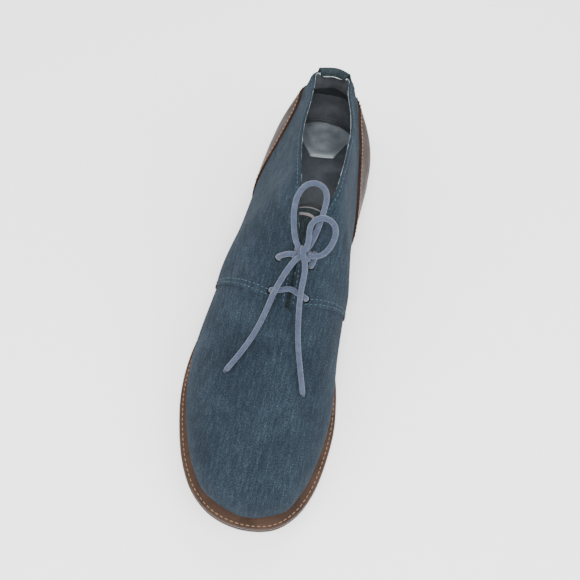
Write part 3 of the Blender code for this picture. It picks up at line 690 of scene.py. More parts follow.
# Leather ends with its roughness, coat, fineness and depth of the grain, and specular level.
SOLE_EDGE_FINISH = 0.05, 900.0, 0.00025
LEATHERS = {
    "lining": ("collar_lining", (0.056, 0.063, 0.073), (0.112, 0.123, 0.138), 0.66),
    "grip": ("grip_nap", (0.034, 0.038, 0.044), (0.085, 0.094, 0.106), 0.9, 0.0, 1500.0, 0.0005),
    # The shade colour is painted shade on the inside's side walls; it also darkens the band under the
    # grip and the pad's piping.
    "shade": ("lining_dark", (0.012, 0.014, 0.018), (0.028, 0.032, 0.038), 0.7),
    # The gap colour is painted shadow: near black, for the shade behind the tongue's lip.
    "gap": ("tongue_lining_dark", (0.004, 0.005, 0.006), (0.010, 0.012, 0.014), 0.9),
    "brown": (
        "polished_brown", (0.018, 0.0095, 0.0068), (0.03, 0.017, 0.0125),
        0.34, 0.0, 620.0, 0.00015, 0.008,
    ),
    "welt": ("welt_edge", (0.022, 0.012, 0.008), (0.055, 0.030, 0.020), 0.42, *SOLE_EDGE_FINISH, 0.15),
    "sole": ("sole_edge", (0.012, 0.007, 0.005), (0.034, 0.020, 0.014), 0.45, *SOLE_EDGE_FINISH, 0.12),
    # A pale bead colour: painted highlight on the lit front edge of the heel pad.
    "pad_edge": ("pad_edge", (0.22, 0.26, 0.27), (0.42, 0.47, 0.48), 0.45, 0.2),
    "tape": ("tongue_tape", (0.060, 0.054, 0.056), (0.125, 0.112, 0.114), 0.8),
}
FOOTBEDS = {
    "insole": ("footbed", (0.030, 0.037, 0.047), (0.066, 0.078, 0.094), 0.55),
    # The heel pad's last colour is a painted highlight towards its raised front edge.
    "pad": (
        "heel_cushion", (0.078, 0.093, 0.108), (0.155, 0.180, 0.200), 0.42, (0.26, 0.31, 0.33)
    ),
}
THREADS = {
    "raw": ("raw_edge", (0.24, 0.27, 0.27), (0.44, 0.47, 0.46)),
    "blue_thread": ("pale_blue_thread", (0.022, 0.040, 0.054), (0.075, 0.115, 0.145)),
    "grey_thread": ("grey_thread", (0.030, 0.034, 0.038), (0.085, 0.092, 0.100)),
    "tan_thread": ("tan_thread", (0.13, 0.075, 0.045), (0.32, 0.21, 0.14)),
    "welt_thread": ("welt_thread", (0.10, 0.06, 0.035), (0.24, 0.16, 0.10)),
}
RUBBERS = {
    "rubber": ("heel_rubber_fine", (0.018, 0.016, 0.015), 0.78),
    "aglet": ("lace_tip", (0.020, 0.024, 0.040), 0.35),
}
MATERIALS = {"stack": stacked_material(), "lace": braid_material()}
for maker, table in (
    (suede_material, SUEDES),
    (leather_material, LEATHERS),
    (footbed_material, FOOTBEDS),
    (thread_material, THREADS),
    (rubber_material, RUBBERS),
):
    MATERIALS.update({key: maker(*values) for key, values in table.items()})


# Mesh helpers


def finished(made, material_keys, slot, replaced=(), smooth_degrees=60):
    """Gives a piece its materials, shading, body and the nodes that it stands for."""
    for key in material_keys:
        made.data.materials.append(MATERIALS[key])
    made.data.shade_smooth()
    made.data.set_sharp_from_angle(angle=math.radians(smooth_degrees))
    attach(made, "root")
    if replaced:
        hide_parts(*replaced)
    return made


def mesh_object(name, points, faces, face_materials=None, weld=True):
    mesh = bpy.data.meshes.new(name)
    mesh.from_pydata([tuple(point) for point in points], [], faces)
    if face_materials is not None:
        mesh.polygons.foreach_set("material_index", np.asarray(face_materials, dtype=np.int32))
    if weld:
        shape = bmesh.new()
        shape.from_mesh(mesh)
        bmesh.ops.remove_doubles(shape, verts=shape.verts, dist=TINY)
        bmesh.ops.dissolve_degenerate(shape, edges=shape.edges, dist=TINY / 2)
        bmesh.ops.recalc_face_normals(shape, faces=shape.faces)
        shape.to_mesh(mesh)
        shape.free()
    made = bpy.data.objects.new(name, mesh)
    bpy.context.scene.collection.objects.link(made)
    return made


def ring_faces(count, size):
    """Faces between rings of equally many points."""
    faces = []
    for here in range(0, (count - 1) * size, size):
        for corner in range(size):
            after = here + (corner + 1) % size
            faces.append((here + corner, after, after + size, here + corner + size))
    return faces


def capped_faces(count, size):
    """The same with a face over the first and the last ring."""
    caps = [tuple(range(size))[::-1], tuple(range((count - 1) * size, count * size))]
    return ring_faces(count, size) + caps


def lofted(name, loops, key, *rest):
    """A finished solid through loops of equally many points."""
    faces = capped_faces(len(loops), len(loops[0]))
    return finished(mesh_object(name, np.vstack(loops), faces), [key], *rest)


def at_length(path, lengths, where):
    """The point of a path at a length along it."""
    return np.array([np.interp(where, lengths, path[:, axis]) for axis in range(3)])


def full_turn(count):
    return np.arange(count) * 2 * math.pi / count


def circle(angles, side, up):
    return np.cos(angles)[:, None] * side + np.sin(angles)[:, None] * up


def frames_along(path):
    """Tangent, and side and up, of a path, turned as little as possible from point to point."""
    tangents = unit(np.gradient(path, axis=0))
    side = np.cross(tangents[0], [0.0, 0.0, 1.0])
    if np.linalg.norm(side) < 0.1:
        side = np.cross(tangents[0], [1.0, 0.0, 0.0])
    side = unit(side)
    found = []
    for tangent in tangents:
        side = unit(side - tangent * side.dot(tangent))
        found.append((side, np.cross(tangent, side)))
    return tangents, found


BRAID_SIDES = 40
BRAID_PITCH = 0.0046
BRAID_STRANDS = 6
BRAID_RELIEF = 0.00016
BRAID_SPACING = 0.00045


def braided_tube(name, path, replaced):
    """A braided round cord: two families of strands that pass over and under each other."""
    path = evenly(path, BRAID_SPACING)
    lengths = path_lengths(path)
    radius = LACE_DIAMETER / 2
    angles = full_turn(BRAID_SIDES)
    rings = []
    for length, centre, (side, up) in zip(lengths, path, frames_along(path)[1]):
        turn = 2 * math.pi * length / BRAID_PITCH
        strands = np.abs(np.cos(BRAID_STRANDS / 2 * angles + np.array([[turn], [-turn]])))
        size = radius + BRAID_RELIEF * (strands.max(axis=0) * 2 - 1.3)
        from_end = min(length, lengths[-1] - length) / radius
        if from_end < 1:
            size = size * math.sqrt(max(0.02, 1 - (1 - from_end) ** 2))
        rings.append(centre + size[:, None] * circle(angles, side, up))
    faces = capped_faces(len(rings), BRAID_SIDES)
    made = mesh_object(name, np.vstack(rings), faces, weld=False)
    layer = made.data.uv_layers.new(name="braid")
    around = np.tile(angles / (2 * math.pi), len(rings))
    spots = np.stack([around, np.repeat(lengths, BRAID_SIDES)], axis=1)
    corners = np.empty(len(made.data.loops), dtype=np.int32)
    made.data.loops.foreach_get("vertex_index", corners)
    layer.data.foreach_set("uv", spots[corners].ravel())
    return finished(made, ["lace"], "lace", replaced)


def simple_tube(name, path, radius, material, slot):
    """A plain round bead along a path, with rounded ends."""
    lengths = path_lengths(path)
    loops = []
    for length, centre, (side, up) in zip(lengths, path, frames_along(path)[1]):
        from_end = min(1.0, min(length, lengths[-1] - length) / radius)
        size = radius * math.sqrt(max(0.04, 1 - (1 - from_end) ** 2))
        loops.append(centre + size * circle(full_turn(10), side, up))
    return lofted(name, loops, material, slot)


# Stitches as their length, the gap between them, their radius and the share that sinks in
SUEDE_STITCH = (0.0020, 0.0011, 0.00021, 0.40)
COUNTER_STITCH = (0.0020, 0.0010, 0.00032, 0.45)
WELT_STITCH = (0.0024, 0.0009, 0.00036, 0.35)
PAD_STITCH = (0.0022, 0.0012, 0.00030, 0.20)

# Where the rows run: below the topline, before the front edge of the quarters in stations, below
# the counter's top edge as a share of height, and on the welt from this far ahead, in from the
# sole's rim by a share of the welt's width.
STITCH_DISTANCE = 0.0013
QUARTER_ROWS = (0.12, 0.30)
COUNTER_ROW_DROP = 0.024
WELT_ROW_START = 0.060
WELT_ROW_SHARE = 0.45

STITCH_SIDES = 6
STITCH_PROFILE = ((0.0, 0.35), (0.12, 0.85), (0.5, 1.0), (0.88, 0.85), (1.0, 0.35))


def stitch_row(name, points, normals, stitch, gap, radius, sink, material, slot, jitter=0.0):
    """Separate stitches along a line on a surface, as one joined mesh of small rounded bars."""
    lengths = path_lengths(points)
    count = int(lengths[-1] / (stitch + gap))
    pitch = lengths[-1] / count
    draw = np.random.default_rng(7)
    bar = capped_faces(len(STITCH_PROFILE), STITCH_SIDES)
    rings, faces = [], []
    for index in range(count):
        first = len(rings) * STITCH_SIDES
        shift = draw.normal(0, jitter, 3) if jitter else np.zeros(3)
        for share, size in STITCH_PROFILE:
            at = index * pitch + gap / 2 + share * stitch
            normal = unit(at_length(normals, lengths, at))
            after, before = (at_length(points, lengths, at + step) for step in (1e-4, -1e-4))
            side = np.cross(unit(after - before), normal)
            arch = radius * (1.0 - sink) - radius * 1.6 * (2 * share - 1) ** 4
            centre = at_length(points, lengths, at) + shift + normal * arch
            rings.append(centre + radius * size * circle(full_turn(STITCH_SIDES), side, normal))
        faces += [tuple(first + corner for corner in face) for face in bar]
    return finished(mesh_object(name, np.vstack(rings), faces, weld=False), [material], slot)


# The upper


def eyelets():
    """Centre and outward direction of each punched hole, lateral then medial, upper pair first."""
    found = []
    for place in EYELET_PLACES:
        for side_place in (place, LOOP - place):
            centre = upper_surface(side_place, EYELET_SHARE, -QUARTER_WALL / 2)
            outside = upper_surface(side_place, EYELET_SHARE, QUARTER_WALL)
            found.append((centre, unit(outside - centre)))
    return found


def fine_columns():
    """Place and outward step of each column. The quarters stand a step above the vamp."""
    behind, ahead = (
        np.arange(low, high + TINY, 1 / UPPER_COLUMNS) for low, high in ((0, THROAT), (THROAT, TOE))
    )
    lateral = [(place, 0.0) for place in behind] + [(THROAT + 0.004, -0.45 * QUARTER_STEP)]
    lateral += [(THROAT + 0.012, -QUARTER_STEP)] + [(place, -QUARTER_STEP) for place in ahead[1:]]
    return lateral + [(LOOP - place, step) for place, step in lateral[-2:0:-1]]


# Numbers of the upper's materials, and where its inside shows them: the napped grip's heights and
# the station where it ends, the lower edge of the dark band below it, and the station where the
# painted shade on the side walls ahead of it ends.
SUEDE, LINING, RAW, GRIP, SHADE = range(5)
GRIP_HEIGHTS = (0.74, 0.985)
GRIP_END = 1.9
BAND_LOW = 0.64
SHADE_END = 7


def inside_material(folded, height):
    """Inside: napped grip at the heel, a dark band below it, painted shade on the side walls, lining.
    """
    # Painted shade: the side walls ahead of the grip take the dark colour of the shadow inside the
    # boot.
    if folded > GRIP_END:
        return SHADE if folded < SHADE_END else LINING
    low, high = GRIP_HEIGHTS
    if low < height < high:
        return GRIP
    return SHADE if BAND_LOW - 0.07 * bump(folded, 0, 0.6) < height <= low else LINING


def make_upper():
    table, steps = np.array(fine_columns()).T[..., None]
    heights = (np.linspace(0, 1, UPPER_ROWS + 1) ** 0.92)[None, :]
    places = swept(table, heights)
    outer = upper_surface(places, heights, steps + suede_relief(places, heights))
    inner = upper_surface(places, heights, -QUARTER_WALL)
    count, rows = len(table), UPPER_ROWS + 1
    faces, marks = [], []
    vamp = in_vamp(table[:, 0])
    for index in range(count):
        here, there = index * rows, (index + 1) % count * rows
        for row in range(UPPER_ROWS):
            ring = (here + row, there + row, there + row + 1, here + row + 1)
            faces += [ring, tuple(count * rows + corner for corner in reversed(ring))]
            marks += [SUEDE, inside_material(folded_place(table[index, 0]), heights[0, row])]
        faces.append((here, there, count * rows + there, count * rows + here))
        marks.append(LINING)
    points = [outer.reshape(-1, 3), inner.reshape(-1, 3)]
    upward = unit(outer[:, -1] - outer[:, -3])
    ragged = np.random.default_rng(3).normal(0, 0.00013, (count, RIM_STEPS + 1))
    for step in range(RIM_STEPS + 1):
        share = step / RIM_STEPS
        lift = 0.00045 * math.sin(math.pi * share) + (ragged[:, step] if 0 < share < 1 else 0)
        rim = outer[:, -1] * (1 - share) + inner[:, -1] * share
        points.append(rim + upward * np.asarray(lift)[..., None])
    rim_faces = np.array(ring_faces(RIM_STEPS + 1, count)).reshape(RIM_STEPS, count, 4)
    for step, row in enumerate((rim_faces + 2 * count * rows).tolist()):
        open_faces = [face for face, shut in zip(row, vamp & np.roll(vamp, -1)) if not shut]
        faces += open_faces
        marks += [RAW if step >= RIM_STEPS - RAW_STEPS else SUEDE] * len(open_faces)
    made = mesh_object("upper_suede", np.vstack(points), faces, marks)
    punch(made)
    return finished(made, ["suede", "lining", "raw", "grip", "shade"], "suede", ["upper"], 50)


def punch(made):
    """Cuts the eyelet holes through the wall."""
    for number, (centre, direction) in enumerate(eyelets()):
        bpy.ops.mesh.primitive_cylinder_add(
            vertices=32, radius=EYELET_DIAMETER / 2, depth=5 * QUARTER_WALL, location=centre
        )
        cutter = bpy.context.object
        cutter.rotation_euler = Vector(direction).to_track_quat("Z", "Y").to_euler()
        cut = made.modifiers.new(f"eyelet_{number}", "BOOLEAN")
        cut.operation = "DIFFERENCE"
        cut.object = cutter
        bpy.context.view_layer.objects.active = made
        bpy.ops.object.modifier_apply(modifier=cut.name)
        bpy.data.objects.remove(cutter)


def stitched(name, places, heights, offset, stitch, thread, slot, jitter=0.0):
    """A row of stitches along a line drawn on the upper. Stitch is length, gap, radius, sink."""
    places, heights = np.asarray(places, float), np.asarray(heights, float)
    points = upper_surface(places, heights, offset + suede_relief(places, heights))
    stitch_row(name, points, world_normal(places, heights), *stitch, thread, slot, jitter)


def make_upper_stitches():
    """One row along the collar and the facings, then two along the front edge of each quarter."""
    ends = ("lateral", 1.30, THROAT - 0.15), ("medial", LOOP - THROAT + 0.15, LOOP - 1.30)
    for name, low, high in ends:
        places = np.linspace(low, high, 160)
        near, edge = (upper_surface(places, height, 0.0) for height in (0.97, 1.0))
        heights = 1 - 0.03 * STITCH_DISTANCE / np.linalg.norm(edge - near, axis=1)
        row = f"topline_stitches_{name}"
        stitched(row, places, heights, 0.0, SUEDE_STITCH, "blue_thread", "suede", 0.00004)
    for side, first in (("lateral", 0), ("medial", LOOP)):
        for number, inset in enumerate(QUARTER_ROWS):
            heights = np.linspace(0.05, 0.955, 140)
            places = swept(np.full(140, abs(first - (THROAT - inset))), heights)
            row = f"quarter_stitches_{side}_{number}"
            stitched(row, places, heights, 0.0, SUEDE_STITCH, "blue_thread", "suede", 0.00003)


# The lace


def eased(points):
    """A smooth path through the points, with its bends evened out."""
    path = evenly(smooth_through(points, 12), 0.0009)
    for _ in range(40):
        path[1:-1] = (path[:-2] + 2 * path[1:-1] + path[2:]) / 4
    return path


def from_knot(direction):
    """The first points of a cord, from inside the knot outwards."""
    exits = knot_exit(direction)
    return [knot_centre() + (exits[0] - knot_centre()) * 0.45] + exits


def make_cord(node, route, pieces=()):
    """One free run of the lace. Pieces are makers of what sits on its far end."""
    path = eased(route)
    fitted = [make(f"{node}_aglet", path) for make in pieces]
    made = braided_tube(f"{node}_braid", path, [node])


# The lace's hard tip: its length, its radius as a share of the lace's, and its profile as places
# along it with shares of its radius. It reaches past the end of the lace's path.
AGLET_LENGTH = 0.011
AGLET_SHARE = 0.86
AGLET_PAST_END = 0.0008
AGLET_PROFILE = (
    (0.0, 0.75), (0.0004, 1.10), (0.0010, 1.12), (0.0014, 1.0), (0.0095, 0.98), (0.0104, 0.9),
    (AGLET_LENGTH, 0.6),
)


def make_aglet(name, path):
    """The hard tip of the lace: a sleeve with a rolled end, round the last stretch of the path."""
    radius = LACE_DIAMETER / 2 * AGLET_SHARE
    lengths = path_lengths(path)
    tangents, frames = frames_along(path)
    loops = []
    for at, size in AGLET_PROFILE:
        where = lengths[-1] - AGLET_LENGTH + at + AGLET_PAST_END
        centre = at_length(path, lengths, where) + tangents[-1] * max(0.0, where - lengths[-1])
        side, up = frames[min(int(np.searchsorted(lengths, where)), len(path) - 1)]
        loops.append(centre + radius * size * circle(full_turn(24), side, up))
    return lofted(name, loops, "aglet", "lace")


def make_lace():
    for node, leave, shares in (
        ("lace_loop_back", LEAVE_BACK_LOOP, BACK_LOOP),
        ("lace_loop_medial", LEAVE_MEDIAL_LOOP, MEDIAL_LOOP),
    ):
        middle = [near_knot(*point) for point in shares]
        make_cord(node, from_knot(leave[0]) + middle + from_knot(leave[1])[::-1])
    for node, leave, lying in (
        ("lace_end_lateral", LEAVE_LATERAL_END, LATERAL_END),
        ("lace_end_medial", LEAVE_MEDIAL_END, MEDIAL_END),
    ):
        route = from_knot(leave) + [on_upper(*point) for point in lying]
        make_cord(node, route, [make_aglet])
    make_knot()
    make_lace_runs()


def make_knot():
    """The bow's middle: one wrap over the crossing strands of the half knot below it."""
    turn = np.linspace(-0.66, 0.66, 60) * 2 * math.pi
    run = np.linspace(-1, 1, 40)
    for name, replaced, *offsets in (
        ("wrap", ["lace_knot"], 0.0008 * turn, -0.0029 * np.sin(turn), 0.0004 + 0.0027 * np.cos(turn)),
        ("half_lower", [], 0.0050 * run, 0.0024 * np.sin(2.4 * run), -0.0010 - 0.0014 * abs(run)),
        ("half_upper", [], 0.0048 * run, -0.0026 * np.sin(2.4 * run), 0.0004 - 0.0014 * run**2),
    ):
        braided_tube(f"knot_{name}", knot_centre() + np.stack(offsets, axis=1), replaced)


def make_lace_runs():
    """The lace through the eyelets: the crossing of the facings and two strands up to the knot."""
    holes = eyelets()
    upper_place, lower_place = EYELET_PLACES
    inside = QUARTER_WALL / 2 + 0.0030

    def from_hole(number, place, above):
        centre, outward = holes[number]
        return [centre - outward * inside, centre, on_upper(place, EYELET_SHARE + above, -0.05)]

    edges = upper_surface(np.array([lower_place, LOOP - lower_place]), 1.0, 0.0)
    middle = edges.mean(axis=0) + np.array([0, 0, LACE_DIAMETER / 2 + LACE_CLEARANCE])
    rise = (1 + EYELET_SHARE) / 2 + 0.01
    lateral, medial = (
        from_hole(number, place, 0.015) + [on_upper(place, rise)]
        for number, place in ((2, lower_place), (3, LOOP - lower_place))
    )
    runs = [("lace_crossing", lateral + [middle] + medial[::-1])]
    for number, (side, place) in enumerate((("lateral", upper_place), ("medial", LOOP - upper_place))):
        route = from_hole(number, place, 0.012) + from_knot(LEAVE_STRANDS[number])[::-1]
        runs.append((f"lace_strand_{side}", route))
    for node, route in runs:
        braided_tube(f"{node}_braid", smooth_through(route, 10), [node])


# Overlays on the upper

COUNTER_FACE = 0.0015  # how far the counter's outer face stands off the upper's


def fine_counter_top(place):
    """The counter's top edge with its corners rounded."""
    return sum(counter_top(place + shift) for shift in (-0.35, -0.18, 0.0, 0.18, 0.35)) / 5


def make_counter():
    first, last = -COUNTER_MEDIAL[-1][0], COUNTER_LATERAL[-1][0]
    profile = [(share, 1.0) for share in np.linspace(0, 0.94, 26)]
    profile += [(0.962, 0.99), (0.978, 0.93), (0.990, 0.78), (1.0, 0.42), (1.001, 0.0)]
    shares, faces = np.array(profile).T
    loops = []
    for place in np.arange(first, last + TINY, 1 / UPPER_COLUMNS):
        top = fine_counter_top(place) if first + 0.4 < place < last - 0.4 else counter_top(place)
        outer = upper_surface(place, shares * top, COUNTER_FACE * faces)
        inner = upper_surface(place, (shares * top)[::6], -0.0002)
        loops.append(np.vstack([outer, inner[::-1]]))
    lofted("polished_counter", loops, "brown", "brown_leather", ["counter"], 40)
    places = np.linspace(first + 0.25, last - 0.2, 220)
    heights = np.maximum([fine_counter_top(place) - COUNTER_ROW_DROP for place in places], 0.02)
    row, places = "counter_stitches", places % LOOP
    stitched(row, places, heights, COUNTER_FACE, COUNTER_STITCH, "tan_thread", "brown_leather")


def make_heel_tab():
    """A strip of raw cut suede folded over the topline at the back."""
    across, thickness = 44, TAB_THICKNESS * 0.85
    rising, dropping = np.linspace(0, 1, 11), np.linspace(0, 1, 5)
    turn = (math.pi * np.arange(1, 10) / 10)[:, None]
    draw = np.random.default_rng(11)
    ragged = draw.normal(0, 1, across + 1), draw.normal(0, 1, across + 1)
    loops = []
    for share, outer_rag, inner_rag in zip(np.linspace(-1, 1, across + 1), *ragged):
        corner, place = abs(share) ** 6, share * TAB_STATIONS
        low = 1 - TAB_OUTSIDE_SHARE - 0.006 * corner + 0.0022 * outer_rag
        bottom = 0.990 - 0.004 * math.sin(7 * share) + 0.0012 * inner_rag
        upward = unit(upper_surface(place, 1.0, 0.0) - upper_surface(place, 0.98, 0.0))
        faces = []
        for layer in (thickness, 0.0):
            outside = OVERLAY_GAP * 0.4 + layer
            inside = -(QUARTER_WALL + outside)
            heights = low + (1 - low) * rising
            reach = place * (1 + 0.02 * np.sin(45 * heights))
            start, stop = (upper_surface(place, 1.0, offset) for offset in (outside, inside))
            blend = (1 - np.cos(turn)) / 2
            fold = start * (1 - blend) + stop * blend + upward * (0.0009 + layer) * np.sin(turn)
            behind = upper_surface(reach, heights, outside + 0.0016 * corner * (1 - rising))
            within = upper_surface(place, 1.0 + (bottom - 1.0) * dropping, inside - 0.0004 * dropping)
            faces.append(np.vstack([behind, fold, within]))
        loops.append(np.vstack([faces[0], faces[1][::-1]]))
    lofted("heel_tab_suede", loops, "tab", "suede", ["heel_tab"], 50)
    shares = np.linspace(-1.12, 1.12, 110)
    wave = 0.016 * np.sin(6.5 * shares) + 0.010 * np.sin(15 * shares + 1)
    wave += 0.003 * draw.normal(0, 1, 110)
    middle = smoothstep(1.10, 0.92, np.abs(shares))
    depth = QUARTER_WALL + TAB_THICKNESS * middle
    edge = upper_surface(shares * TAB_STATIONS, 0.998 + (wave - 0.018) * middle, -depth)
    simple_tube("raw_edge_under_tab", eased(edge), 0.0004, "raw", "lining")


def make_tongue():
    """The tongue, the pale bead on its top edge, its tape and a dark sheet of painted shadow behind
    its lip.
    """
    rows = np.array(TONGUE[::-1])
    top, half = rows[0, 0], TONGUE_THICKNESS / 2

    def arc(place, lift, steps, side=None):
        """A curve across the tongue at one place, lifted off its face."""
        found, drop = (np.interp(place, rows[:, 0], column) for column in rows.T[1:])
        offset = lift - QUARTER_WALL - TONGUE_CLEARANCE
        return smooth_through(tongue_arc(place, side or found, drop, offset), steps)

    def across(place, share, lift):
        line = arc(place, lift, 12, 0.80)
        return at_length(line, np.arange(len(line)), share * (len(line) - 1))

    loops = []
    for place in np.linspace(top, rows[-1, 0], 70):
        from_top = min(1.0, (place - top) / 0.16)
        thin = half * math.sqrt(max(0.05, 1 - (1 - from_top) ** 2))
        loops.append(np.vstack([arc(place, thin - half, 8), arc(place, -thin - half, 8)[::-1]]))
    lofted("tongue_suede", loops, "tongue", "tongue_suede", ["tongue"], 50)
    edge = [across(top + 0.02, share, 0.0001) for share in np.linspace(0.16, 0.84, 40)]
    simple_tube("tongue_top_edge", eased(edge), 0.00035, "tape", "tongue_suede")
    rim = (-0.055, 0.0), (-0.055, 0.0006), (0.0, 0.0010), (0.055, 0.0006), (0.055, 0.0)
    loops = [
        [across(top + 0.18 + 0.22 * run + aside, 0.24 + 0.34 * run, lift) for aside, lift in rim]
        for run in np.linspace(0.0, 1.0, 40)
    ]
    lofted("tongue_tape", loops, "tape", "tongue_suede")
    # A near-black sheet behind the tongue's lip: painted shadow in the gap under it.
    loops = []
    slope = (across(top, 0.5, 0.0) - across(top + 0.2, 0.5, 0.0)) / 0.2
    for place in np.linspace(top - 0.16, top + 0.52, 12):
        shift = slope * max(0.0, top - place)
        shares = np.linspace(0.14, 0.86, 26)
        ways = (0.0024, shares), (0.0032, shares[::-1])
        loops.append([across(max(place, top), at, -deep) + shift for deep, row in ways for at in row])
    lofted("tongue_gap_shadow_sheet", loops, "gap", "tongue_suede")


# The sole


def without_doubles(points):
    steps = np.linalg.norm(np.diff(points, axis=0), axis=1)
    return points[np.concatenate([[True], steps > 1e-6])]


def sole_layer(name, rings, samples=120, front=None):
    """A sole layer from rings of (inset, z function, set back), bottom to top, with filled ends."""
    shares = np.linspace(0, 1, samples + 1)
    shares = (1 - np.cos(math.pi * shares)) / 2 if front is None else 1 - np.cos(math.pi / 2 * shares)
    loops = []
    for inset, level, set_back in rings:
        lateral, medial = sides(inset_outline(*inset))
        stop = lateral[-1, 1] if front is None else front - set_back
        ahead = lateral[0, 1] + (stop - lateral[0, 1]) * shares
        left, right = (np.stack([side_x(side, ahead), ahead], axis=1) for side in (lateral, medial))
        flat = np.vstack([left, right[::-1]])
        loops.append(standing(flat, level(flat[:, 1])))
    size = len(loops[0])
    faces = ring_faces(len(loops), size)
    for base in (0, (len(loops) - 1) * size):
        for index in range(samples):
            far = base + size - 1 - index
            faces.append((base + index, base + index + 1, far - 1, far))
    return mesh_object(name, np.vstack(loops), faces)


def rounded_rings(inset, low, high, radius, steps=4):
    """Rings of a layer with both rims rounded. Low and high give z at a distance ahead."""
    turns = math.pi / 2 * np.arange(steps + 1) / steps
    sine, cosine = radius * (1 - np.sin(turns)), radius * (1 - np.cos(turns))
    rings = []
    for level, inwards, away in ((low, sine, cosine), (high, cosine, -sine)):
        for more, rise in zip(inwards, away):
            height = lambda ahead, level=level, rise=rise: level(ahead) + rise
            rings.append(((inset[0] + more, inset[1] + more), height, more))
    return rings


def make_sole():
    """The outsole, the welt, the stacked heel and its rubber lift, then the welt's stitches."""
    join = lambda ahead: sole_underside(ahead) + OUTSOLE_THICKNESS
    welt_low = lambda ahead: join(ahead) + GAP / 2
    welt_high = lambda ahead: welt_low(ahead) + MIDSOLE_THICKNESS
    heel_low = lambda ahead: LIFT_THICKNESS + GAP + 0 * ahead
    heel_high = lambda ahead: sole_underside(ahead) - GAP
    lift_low, lift_high = lambda ahead: 0 * ahead, lambda ahead: LIFT_THICKNESS + 0 * ahead
    outsole = ("outsole_edge", "outsole", "sole", "sole_leather"), sole_underside, join
    welt = ("welt", "midsole", "welt", "welt_leather"), welt_low, welt_high
    heel = ("stacked_heel", "heel", "stack", "sole_leather"), heel_low, heel_high
    lift = ("rubber_lift", "heel_lift", "rubber", "heel_rubber"), lift_low, lift_high
    for ((name, node, key, slot), low, high), inset, rim, steps, *ends in (
        (outsole, 0.0002, 0.0010, 4),
        (welt, 0.0006, 0.0009, 4),
        (heel, 0.0004, 0.0004, 2, 80, HEEL_LENGTH),
        (lift, 0.0008, 0.0008, 3, 80, HEEL_LENGTH - 0.001),
    ):
        layer = sole_layer(name, rounded_rings((inset, inset), low, high, rim, steps), *ends)
        finished(layer, [key], slot, [node], 35)
    lateral, medial = sides(inset_outline(WELT_AT_HEEL * WELT_ROW_SHARE, WELT_AT_TOE * WELT_ROW_SHARE))
    flat = np.vstack([lateral, medial[::-1]])
    flat = flat[flat[:, 1] > WELT_ROW_START]
    points = without_doubles(standing(flat, midsole_top(flat[:, 1]) - GAP / 2))
    normals = np.tile([0.0, 0.0, 1.0], (len(points), 1))
    stitch_row("welt_stitches", points, normals, *WELT_STITCH, "welt_thread", "welt_leather")


def make_footbed():
    wall = QUARTER_WALL + INSOLE_CLEARANCE
    base = lambda ahead: midsole_top(ahead) + GAP
    top = lambda ahead: base(ahead) + INSOLE_THICKNESS
    rings = rounded_rings((WELT_AT_HEEL + wall, WELT_AT_TOE + wall), base, top, 0.0012)
    finished(sole_layer("footbed", rings), ["insole"], "lining", ["insole"], 40)
    make_pad(wall + 0.0012, lambda ahead: top(ahead) + GAP / 2)


def pad_front(x):
    """How far ahead the heel pad reaches at a place across the boot: its corners are cut off."""
    slant = PAD_FRONT - 0.165 * (x - PAD_CORNERS[0])
    lateral = np.clip((PAD_CORNERS[0] - x) / 0.008, 0, 1) * 0.012
    medial = np.clip((x - PAD_CORNERS[1]) / 0.007, 0, 1) * 0.013
    return slant - lateral - medial


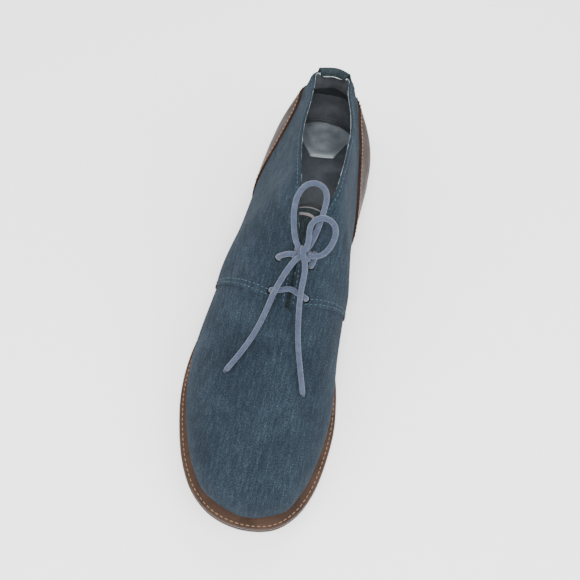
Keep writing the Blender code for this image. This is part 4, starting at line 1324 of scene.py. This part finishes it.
def make_pad(margin, base):
    """The heel pad: a thin cushion with crescents pressed into it, a painted highlight on its front
    and a piped rear.
    """
    lateral, medial = sides(inset_outline(WELT_AT_HEEL + margin, WELT_AT_TOE + margin))
    back = lateral[0, 1]
    across, along = 56, 60
    shares = np.linspace(-1, 1, across + 1)[:, None]
    run = (1 - np.cos(math.pi * np.arange(along + 1) / along)) / 2
    ahead = back + (SOCK_LENGTH - back) * run + 0 * shares
    for _ in range(3):
        left, right = side_x(lateral, ahead), side_x(medial, ahead)
        x = (left + right) / 2 + shares * (right - left) / 2 - MIDDLE
        ahead = back + (pad_front(x) - back) * run
    from_front = np.clip((pad_front(x) - ahead) / 0.0016, 0, 1)
    round_off = np.sqrt(np.clip(1 - (1 - np.clip((1 - np.abs(shares)) / 0.06, 0, 1)) ** 2, 0, 1))
    round_off = round_off * (0.45 + 0.55 * np.sqrt(1 - (1 - from_front) ** 2))
    dish = np.hypot((x - 0.002) / 0.017, (ahead - 0.024) / 0.015)
    relief = 0.0009 * bump(dish, 1.0, 0.30) - 0.0007 * bump(dish, 0.62, 0.22)
    relief += 0.0003 * np.sin(420 * x + 300 * ahead) * np.sin(260 * ahead)
    z = base(ahead) + (SOCK_THICKNESS + relief) * round_off
    top, low = (np.stack([x, world_y(ahead), level], axis=-1) for level in (z, base(ahead)))
    number = np.arange(x.size).reshape(x.shape)
    corners = number[:-1, :-1], number[1:, :-1], number[1:, 1:], number[:-1, 1:]
    quads = np.stack(corners, axis=-1).reshape(-1, 4)
    faces = quads.tolist() + (quads[:, ::-1] + x.size).tolist()
    rim = np.concatenate([number[:, 0], number[-1, 1:], number[-2::-1, -1], number[0, -2:0:-1]])
    there = np.roll(rim, -1)
    faces += np.stack([rim, there, there + x.size, rim + x.size], axis=1).tolist()
    made = mesh_object("heel_cushion", np.vstack([top.reshape(-1, 3), low.reshape(-1, 3)]), faces)
    finished(made, ["pad"], "heel_pad", ["heel_sock"], 50)
    # A pale bead along the pad's front edge: painted highlight where the light catches it.
    front = (x[:, -1] > PAD_CORNERS[0] - 0.001) & (x[:, -1] < PAD_CORNERS[1] + 0.001)
    front = top[front, -1] + np.array([0, -0.0002, 0.0002])
    simple_tube("pad_front_edge", eased(front), 0.00075, "pad_edge", "heel_pad")

    flat = np.vstack([lateral[::-1], medial])
    flat = flat[flat[:, 1] < PAD_PIPING_END]
    piping = eased(without_doubles(standing(flat, base(flat[:, 1]) + SOCK_THICKNESS + 0.0004)))
    simple_tube("pad_piping", piping, 0.0010, "shade", "heel_pad")
    above = piping + np.array([0, 0, 0.0036])
    inwards = unit((above.mean(axis=0) - above) * np.array([1, 1, 0]))
    above -= inwards * 0.0010
    stitch_row("pad_stitches", above, inwards, *PAD_STITCH, "grey_thread", "lining")


# Camera and light

CAMERA_PLACE = (0.0205, -0.1963, 0.4420)
CAMERA_TARGET = (0.004, -0.006, 0.050)
CAMERA_ROLL = math.radians(8.58)
CAMERA_ANGLE = math.radians(46)
PALE = (0.94, 0.94, 0.94, 1.0)
SKY = (0.97, 0.98, 1.0, 1.0)
SKY_STRENGTH = 1.25

# Area lights as name, place, size, power and colour. All look at LIT_POINT.
LIT_POINT = (0, 0, 0.05)
LIGHTS = (
    ("overhead", (0.05, -0.50, 1.02), 0.40, 17.0, (1.0, 0.99, 0.97)),
    ("key", (-0.65, -0.45, 1.05), 0.8, 9.0, (1.0, 0.98, 0.95)),
    ("fill", (0.75, -0.25, 0.9), 0.8, 9.0, (0.95, 0.97, 1.0)),
    ("back", (0.05, 0.9, 0.8), 0.7, 9.0, (0.97, 0.98, 1.0)),
)


def aimed(name, data, place, target, roll=0.0):
    """An object that looks from its place at a target."""
    made = bpy.data.objects.new(name, data)
    made.location = place
    turned = (Vector(target) - Vector(place)).to_track_quat("-Z", "Y")
    made.rotation_euler = (turned @ Quaternion((0, 0, 1), roll)).to_euler()
    bpy.context.scene.collection.objects.link(made)
    return made


def make_camera_and_light():
    camera = bpy.data.cameras.new("camera")
    camera.angle = CAMERA_ANGLE
    camera.clip_start = 0.01
    placed = aimed("camera", camera, CAMERA_PLACE, CAMERA_TARGET, CAMERA_ROLL)
    bpy.context.scene.camera = placed
    bpy.ops.mesh.primitive_plane_add(size=6.0, location=(0, 0, 0))
    floor = bpy.context.object
    floor.name = "floor"
    pale = Nodes("pale_floor").shaded(Base_Color=PALE, Roughness=0.9)
    floor.data.materials.append(pale)
    world = bpy.data.worlds.new("studio")
    bpy.context.scene.world = world
    world.use_nodes = True
    background = world.node_tree.nodes["Background"]
    background.inputs["Color"].default_value = SKY
    background.inputs["Strength"].default_value = SKY_STRENGTH
    for name, place, size, power, colour in LIGHTS:
        light = bpy.data.lights.new(name, "AREA")
        light.size, light.energy, light.color = size, power, colour
        aimed(name, light, place, LIT_POINT)


make_camera_and_light()
make_lace()
make_upper()
make_upper_stitches()
make_counter()
make_heel_tab()
make_tongue()
make_sole()
make_footbed()
